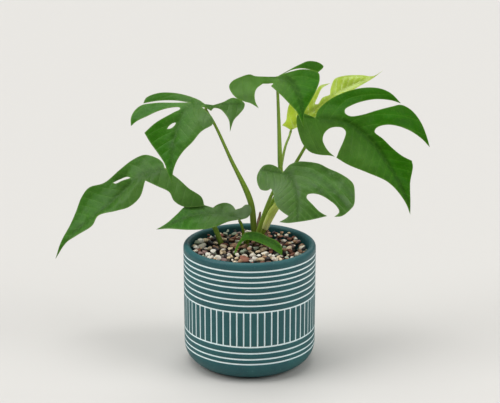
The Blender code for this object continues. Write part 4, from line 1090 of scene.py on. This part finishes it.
def stalk_finish(name, skin, lit, foot, knee_paint):
    """Waxy streaked skin, paler on the upper side as painted light, yellower at the foot and pale at the
    knee.
    """
    material, tree, shader = new_finish(name, IOR=1.42, Specular_IOR_Level=0.5)
    cloud = use_group(tree, MOTTLE, Broad_Scale=55.0, Fine_Scale=900.0)
    streaks = use_group(tree, FIBRES, Scale=3.2)["Streaks"]
    share = stored(tree, "share")
    # Painted light: the upper side turns to the lit shade and the far side keeps the shaded skin.
    colour = blended(tree, stretched(tree, stored(tree, "upper"), 0.1, 0.95), skin, lit)
    colour = tinted(tree, colour, streaks, 0.2, 1.0, 0.45, foot)
    colour = blended(tree, stretched(tree, share, 0.0, 0.45, 0.65, 0.0), colour, foot)
    colour = tinted(tree, colour, share, 0.90, 0.97, 0.7, knee_paint)
    colour = tinted(tree, colour, cloud["Fine"], 0.82, 1.0, 0.35, paint(132, 120, 62))
    finish_surface(tree, shader, colour, spanned(tree, cloud["Broad"], 0.36, 0.5), streaks, 0.10 * MM)
    return material


STALK_SKIN = stalk_finish("stalk_skin", paint(74, 128, 8), paint(128, 166, 42),
                          paint(148, 170, 60), paint(140, 168, 76))
YOUNG_STALK_SKIN = stalk_finish("young_stalk_skin", paint(112, 150, 46), paint(142, 174, 72),
                                paint(150, 168, 76), paint(160, 186, 92))

for leaf, stalk in STALKS.items():
    joint, joint_facing = leaf_joints[leaf]
    stalk_route = above_gravel(stalk["route"])
    stalk_route += [joint - joint_facing * below * MM for below in (4, 0.2)]
    stalk_length = frames_along(stalk_route, STALK_STEP, UPPER_WAY)[-1][3]
    stalk_piece = grown("stalk_" + leaf, stalk_route, STALK_STEP, STALK_SIDES, UPPER_WAY,
                        stalk_shape(stalk["radii"], stalk_length))
    stalk_piece.data.materials.append(YOUNG_STALK_SKIN if leaf == "young" else STALK_SKIN)
    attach(stalk_piece, "root")
    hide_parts("petiole_" + leaf)

# ---------------------------------------------------------------- sheaths
# A fresh leaf comes out of a thin pale wing that wraps its stalk's foot. Two older ones have
# dried to brown papery scraps at the crown.
SHEATH_ROUTE = [(15.2, 17.9, 15), (18.6, 18.2, 23.5), (22.5, 18.5, 33), (26.4, 18.8, 41), (28.6, 19, 46)]
SHEATH_INSIDE = (2.8, 5.6)  # inner radius at its foot and at its top, in mm
SHEATH_HALF_TURN = (130, 60)  # how far it wraps to each side at its foot and at its top, in degrees
SHEATH_FACES = -35  # where the middle of the wrap lies round the stalk, in degrees
SHEATH_ACROSS = 41
SHEATH_FIBRES = (0.35, 22)  # how fast its streaks change across it, and along it
SHEATH_THICKNESS = 0.5
SHEATH_RIBS, RIB_STANDS = 9, 0.05
EDGE_WAVER = 0.25
DRIED_SHEATHS = {
    "dried_sheath_tall": ([(9, 19, 4), (9.3, 18.8, 14), (9.8, 18.8, 24), (10.8, 19, 33)],
                          [1.8, 2.2, 2.0, 0.8]),
    "dried_sheath_short": ([(13.5, 16.5, 2), (16.5, 16.0, 9), (18.8, 17, 14)], [2.2, 2.0, 0.7]),
}
DRIED_FLATTEN = 0.35  # thickness of a scrap as a share of its width
DRIED_CURL = 0.30


def build_leaf_sheath():
    """A thin wing, open at the back, with fine ribs along it and a wavering free edge."""
    stations = frames_along(above_gravel(SHEATH_ROUTE), 0.9 * MM, Vector((0, 1, 0)))
    length = stations[-1][3]
    rings, shares, fibres = [], [], []
    for centre, side, back, travelled in stations:
        share = travelled / length
        inner = SHEATH_INSIDE[0] + (SHEATH_INSIDE[1] - SHEATH_INSIDE[0]) * share
        half_turn = SHEATH_HALF_TURN[0] + (SHEATH_HALF_TURN[1] - SHEATH_HALF_TURN[0]) * share**2
        row_in, row_out = [], []
        for k in range(SHEATH_ACROSS):
            spread = 2 * k / (SHEATH_ACROSS - 1) - 1
            angle = math.radians(SHEATH_FACES + half_turn * spread)
            way = -side * math.cos(angle) + back * math.sin(angle)
            flare = EDGE_WAVER * spread**4 * (1 + noise(Vector((share * 6, spread * 2, 3))))
            ribs = RIB_STANDS * math.cos(spread * SHEATH_RIBS * math.pi)
            thickness = SHEATH_THICKNESS * (1 - 0.5 * spread**6)
            row_in.append(centre + way * (inner + flare) * MM)
            row_out.append(centre + way * (inner + flare + thickness + ribs) * MM)
        rings.append(row_in + row_out[::-1])
        shares += [share] * (2 * SHEATH_ACROSS)
        across = [*range(SHEATH_ACROSS), *reversed(range(SHEATH_ACROSS))]
        fibres += [(k * SHEATH_FIBRES[0], 0.0, travelled * SHEATH_FIBRES[1]) for k in across]
    piece = lofted("young_leaf_sheath", rings)
    give_values(piece, "share", shares)
    give_fibres(piece, fibres)
    return piece


def sheath_finish():
    """Pale yellow-green skin that light gets into, its shades brightened near white as a painted glow of
    light through it, deeper at its middle and palest at its foot.
    """
    material, tree, shader = new_finish("sheath_skin", IOR=1.4, Subsurface_Weight=0.25,
                                        Subsurface_Radius=(1.0, 1.0, 0.3), Subsurface_Scale=3 * MM)
    streaks = use_group(tree, FIBRES, Scale=2.2)["Streaks"]
    share = stored(tree, "share")
    # Its own pale yellow-green, pushed close to white as a painted glow of light coming through it.
    colour = blended(tree, streaks, paint(222, 238, 100), paint(248, 250, 166))
    colour = tinted(tree, colour, share, 0.30, 0.55, 0.5, paint(150, 184, 56))
    colour = tinted(tree, colour, share, 0.62, 0.85, 0.7, paint(216, 230, 116))
    colour = blended(tree, stretched(tree, share, 0.0, 0.4, 0.6, 0.0), colour, paint(240, 240, 170))
    finish_surface(tree, shader, colour, spanned(tree, streaks, 0.36, 0.48), streaks, 0.12 * MM)
    return material


def dried_shape(radii):
    """The radius of a flattened and crumpled scrap."""
    places = np.linspace(0, 1, len(radii))

    def width_at(travelled, share, angle):
        width = float(np.interp(share, places, radii)) * MM
        curl = DRIED_CURL * noise(Vector((math.cos(angle) * 1.6, math.sin(angle) * 1.6, share * 9)))
        flat = math.hypot(math.cos(angle) * DRIED_FLATTEN, math.sin(angle))
        return width * (flat + curl * flat)
    return width_at


def dried_finish():
    """Brown streaked paper with dark spots."""
    material, tree, shader = new_finish("dried_sheath_paper", Specular_IOR_Level=0.3)
    streaks = use_group(tree, FIBRES, Scale=3.5)["Streaks"]
    cloud = use_group(tree, MOTTLE, Broad_Scale=260.0, Fine_Scale=1500.0)
    colour = blended(tree, streaks, paint(160, 112, 88), paint(228, 188, 158))
    colour = tinted(tree, colour, cloud["Broad"], 0.62, 0.9, 0.7, paint(96, 50, 34))
    finish_surface(tree, shader, colour, spanned(tree, cloud["Fine"], 0.75, 0.92), streaks, 0.3 * MM)
    return material


sheath_piece = build_leaf_sheath()
sheath_piece.data.materials.append(sheath_finish())
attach(sheath_piece, "root")
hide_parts("leaf_sheath")

DRIED_PAPER = dried_finish()
for scrap, (scrap_route, scrap_radii) in DRIED_SHEATHS.items():
    scrap_piece = grown(scrap + "_scrap", above_gravel(scrap_route), 0.6 * MM, 20, Vector((0, -1, 0.1)),
                        dried_shape(scrap_radii))
    scrap_piece.data.materials.append(DRIED_PAPER)
    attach(scrap_piece, "root")
    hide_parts(scrap)

# ---------------------------------------------------------------- gravel
# The bed is topped with small mixed stones: chalky white, cream, tan, sage, rust, mauve and
# slate. Each is dropped where it finds the most room, round the stalks, until the bed is full.
STONE_KINDS = {
    # name: (share of the bed, shade, second shade, speck)
    "chalk": (0.30, paint(244, 240, 228), paint(222, 212, 192), paint(150, 138, 118)),
    "cream": (0.20, paint(236, 218, 186), paint(210, 188, 150), paint(150, 116, 82)),
    "tan": (0.10, paint(188, 152, 122), paint(156, 118, 90), paint(104, 74, 54)),
    "sage": (0.13, paint(180, 190, 166), paint(138, 152, 130), paint(200, 204, 184)),
    "rust": (0.11, paint(148, 96, 76), paint(108, 66, 50), paint(180, 128, 100)),
    "mauve": (0.08, paint(150, 122, 114), paint(112, 90, 86), paint(196, 174, 162)),
    "slate": (0.10, paint(72, 69, 70), paint(42, 41, 44), paint(118, 110, 104)),
}
# Sizes: (share of the stones, smallest and largest length in mm)
STONE_SIZES = [(0.08, 3.2, 5.0), (0.24, 5.0, 7.4), (0.38, 7.4, 10.2), (0.30, 10.2, 14.0)]
STONE_WIDTH = (0.62, 0.95)  # as shares of its length
STONE_HEIGHT = (0.48, 0.80)
STONE_TILT = math.radians(16)
STONE_TRIES = 6
STONE_COUNT = 1400
BED_CELL = 0.5  # the bed is held as heights on a grid of cells this wide, in mm
WALL_ROOM = 0.4
BED_RADIUS = (POT_RADIUS - POT_WALL) / MM - WALL_ROOM
BED_DEPTH = 13.0
STONE_STANDS = 4.6  # how far a stone may stand above the nominal surface, in mm
HEAP = (6.0, 12.0, 2.4, 14.0)  # stones heaped before the crown: x, y, height, reach
STALK_ROOM = 0.5
FOOT_REACH = 4.0  # stones keep clear of a stalk from this far below the nominal surface to this far above
CHIPS = (8, 13)
CHIP_PLACE = (0.40, 0.80)  # how far from a stone's middle a flat is cut, as a share of its size
CHIP_HARDNESS = 0.96
HIDDEN_BELOW = -5.5  # stones that lie lower than this are made of fewer faces


def bed_map():
    """The bed's heights in mm above the nominal surface; walls and stalks stand infinitely high."""
    cells = int(BED_RADIUS / BED_CELL) + 2
    ticks = np.arange(-cells, cells + 1) * BED_CELL
    x, y = np.meshgrid(ticks, ticks, indexing="ij")
    heights = np.full(x.shape, -BED_DEPTH)
    heights[np.hypot(x, y) > BED_RADIUS] = np.inf
    posts = [(STEM_ROUTE[-2], STEM_RADII[-2])]
    for leaf in ("far_left", "low_left", "small"):
        for place in smooth_curve(STALKS[leaf]["route"], 1.5):
            if abs(place[2]) < FOOT_REACH:
                posts.append((place, STALKS[leaf]["radii"][2]))
    for place, radius in posts:
        heights[np.hypot(x - place[0], y - place[1]) < radius + STALK_ROOM] = np.inf
    return heights, cells


def heap_at(x, y):
    """How much higher the stones stand at a place, in mm."""
    return HEAP[2] * math.exp(-((x - HEAP[0])**2 + (y - HEAP[1])**2) / HEAP[3]**2)


def turned_axes(chance):
    """A random turn about upright with a small tilt, as a 3 x 3 matrix."""
    spin = chance.uniform(0, 2 * math.pi)
    tilt = chance.normal(0, STONE_TILT)
    lean = chance.uniform(0, 2 * math.pi)
    turn = np.array([[math.cos(spin), -math.sin(spin), 0], [math.sin(spin), math.cos(spin), 0], [0, 0, 1]])
    axis = np.array([math.cos(lean), math.sin(lean), 0])
    cross = np.array([[0, 0, axis[1]], [0, 0, -axis[0]], [-axis[1], axis[0], 0]])
    return (np.eye(3) + math.sin(tilt) * cross + (1 - math.cos(tilt)) * cross @ cross) @ turn


def stone_faces_up(shape, reach):
    """Heights of an ellipsoid's lower and upper faces over the cells under it, nan outside."""
    ticks = np.arange(-reach, reach + 1) * BED_CELL
    x, y = np.meshgrid(ticks, ticks, indexing="ij")
    lead = shape[2, 2]
    slope = shape[0, 2] * x + shape[1, 2] * y
    rest = shape[0, 0] * x**2 + 2 * shape[0, 1] * x * y + shape[1, 1] * y**2 - 1
    inside = slope**2 - lead * rest
    root = np.sqrt(np.where(inside > 0, inside, np.nan))
    return (-slope - root) / lead, (-slope + root) / lead


def best_seat(heights, cells, under, over, long, chance):
    """Of a few random places, the one where a stone lies deepest: (room over it, seat, cell x, cell y)."""
    best = None
    reach = len(under) // 2
    for _ in range(STONE_TRIES):
        radius = (BED_RADIUS - long * 0.8) * math.sqrt(chance.uniform())
        angle = chance.uniform(0, 2 * math.pi)
        column = cells + int(round(radius * math.cos(angle) / BED_CELL))
        row = cells + int(round(radius * math.sin(angle) / BED_CELL))
        patch = heights[column - reach:column + reach + 1, row - reach:row + reach + 1]
        if patch.shape != under.shape:
            continue
        seat = np.nanmax(patch - under)
        heap = heap_at((column - cells) * BED_CELL, (row - cells) * BED_CELL)
        room = STONE_STANDS + heap - seat - np.nanmax(over)
        if room > 0 and (best is None or room > best[0]):
            best = (room, seat, column, row)
    return best


def drop_stones():
    """Settle the stones one by one. Returns (place in mm, half sizes, axes, kind) for each."""
    chance = np.random.default_rng(21)
    heights, cells = bed_map()
    size_shares = np.array([size[0] for size in STONE_SIZES])
    kinds = list(STONE_KINDS)
    kind_shares = np.array([STONE_KINDS[kind][0] for kind in kinds])
    settled = []
    for _ in range(STONE_COUNT):
        _, small, large = STONE_SIZES[chance.choice(len(size_shares), p=size_shares / size_shares.sum())]
        long = chance.uniform(small, large) / 2
        half = np.array([long, long * chance.uniform(*STONE_WIDTH), long * chance.uniform(*STONE_HEIGHT)])
        axes = turned_axes(chance)
        kind = kinds[chance.choice(len(kinds), p=kind_shares / kind_shares.sum())]
        reach = int(math.ceil(long / BED_CELL))
        under, over = stone_faces_up(axes @ np.diag(1 / half**2) @ axes.T, reach)
        best = best_seat(heights, cells, under, over, long, chance)
        if best is None:
            continue
        _, seat, column, row = best
        patch = heights[column - reach:column + reach + 1, row - reach:row + reach + 1]
        patch[:] = np.fmax(patch, seat + over)
        place = np.array([(column - cells) * BED_CELL, (row - cells) * BED_CELL, seat])
        settled.append((place, half, axes, kind))
    return settled


def ball(rounds):
    """Points and faces of a unit ball of triangles."""
    builder = bmesh.new()
    bmesh.ops.create_icosphere(builder, subdivisions=rounds, radius=1.0)
    points = np.array([vert.co[:] for vert in builder.verts])
    faces = np.array([[vert.index for vert in face.verts] for face in builder.faces])
    builder.free()
    return points, faces


def chipped(points, chance):
    """A ball worn and chipped into a stone: flats cut off it, corners kept soft."""
    stone = points * (1 + 0.05 * chance.normal(size=3))
    for _ in range(chance.integers(*CHIPS)):
        way = chance.normal(size=3)
        way /= np.linalg.norm(way)
        over = stone @ way - chance.uniform(*CHIP_PLACE)
        stone = stone - np.outer(np.maximum(over, 0) * CHIP_HARDNESS, way)
    return stone / max(1.0, np.abs(stone).max())


def build_stones(settled, kind):
    """All the stones of one kind as one piece, each with a tone of its own."""
    chance = np.random.default_rng(len(kind) * 31 + ord(kind[0]))
    balls = {"seen": ball(3), "hidden": ball(2)}
    points, faces, tones, heights = [], [], [], []
    count = 0
    for place, half, axes, stone_kind in settled:
        if stone_kind != kind:
            continue
        shape, ball_faces = balls["hidden" if place[2] < HIDDEN_BELOW else "seen"]
        stone = (chipped(shape, chance) * half) @ axes.T + place
        points.append(stone)
        faces.append(ball_faces + count)
        tones.append(np.full(len(stone), chance.uniform()))
        heights.append(stone[:, 2] - heap_at(place[0], place[1]))
        count += len(stone)
    places = np.vstack(points) * MM + np.array([0, 0, GRAVEL_TOP])
    piece = new_piece("stones_" + kind, places, np.vstack(faces).tolist())
    give_values(piece, "tone", np.concatenate(tones))
    give_values(piece, "height", np.concatenate(heights))
    return piece


def stone_finish(kind):
    """Two shades and specks of its kind, darkened towards a near-black brown where a stone lies low in the
    bed, as painted shade in the gaps between stones.
    """
    _, shade, second, speck = STONE_KINDS[kind]
    material, tree, shader = new_finish("stone_" + kind, Specular_IOR_Level=0.35)
    cloud = use_group(tree, MOTTLE, Broad_Scale=230.0, Fine_Scale=1500.0)
    colour = blended(tree, stored(tree, "tone"), shade, second)
    colour = tinted(tree, colour, cloud["Broad"], 0.45, 0.95, 0.55, second)
    colour = tinted(tree, colour, cloud["Fine"], 0.74, 0.95, 0.55, speck)
    # Painted shade: stones lying lower in the bed darken towards near black, as if shaded by the stones
    # over them.
    low = stretched(tree, stored(tree, "height"), -3.0, 1.8, 0.95, 0.0)
    colour = blended(tree, low, colour, paint(28, 22, 18))
    roughness = spanned(tree, cloud["Broad"], 0.62, 0.85)
    finish_surface(tree, shader, colour, roughness, cloud["Fine"], 0.14 * MM)
    return material


settled_stones = drop_stones()
for kind in STONE_KINDS:
    stone_piece = build_stones(settled_stones, kind)
    stone_piece.data.materials.append(stone_finish(kind))
    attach(stone_piece, "root")
    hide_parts("gravel")
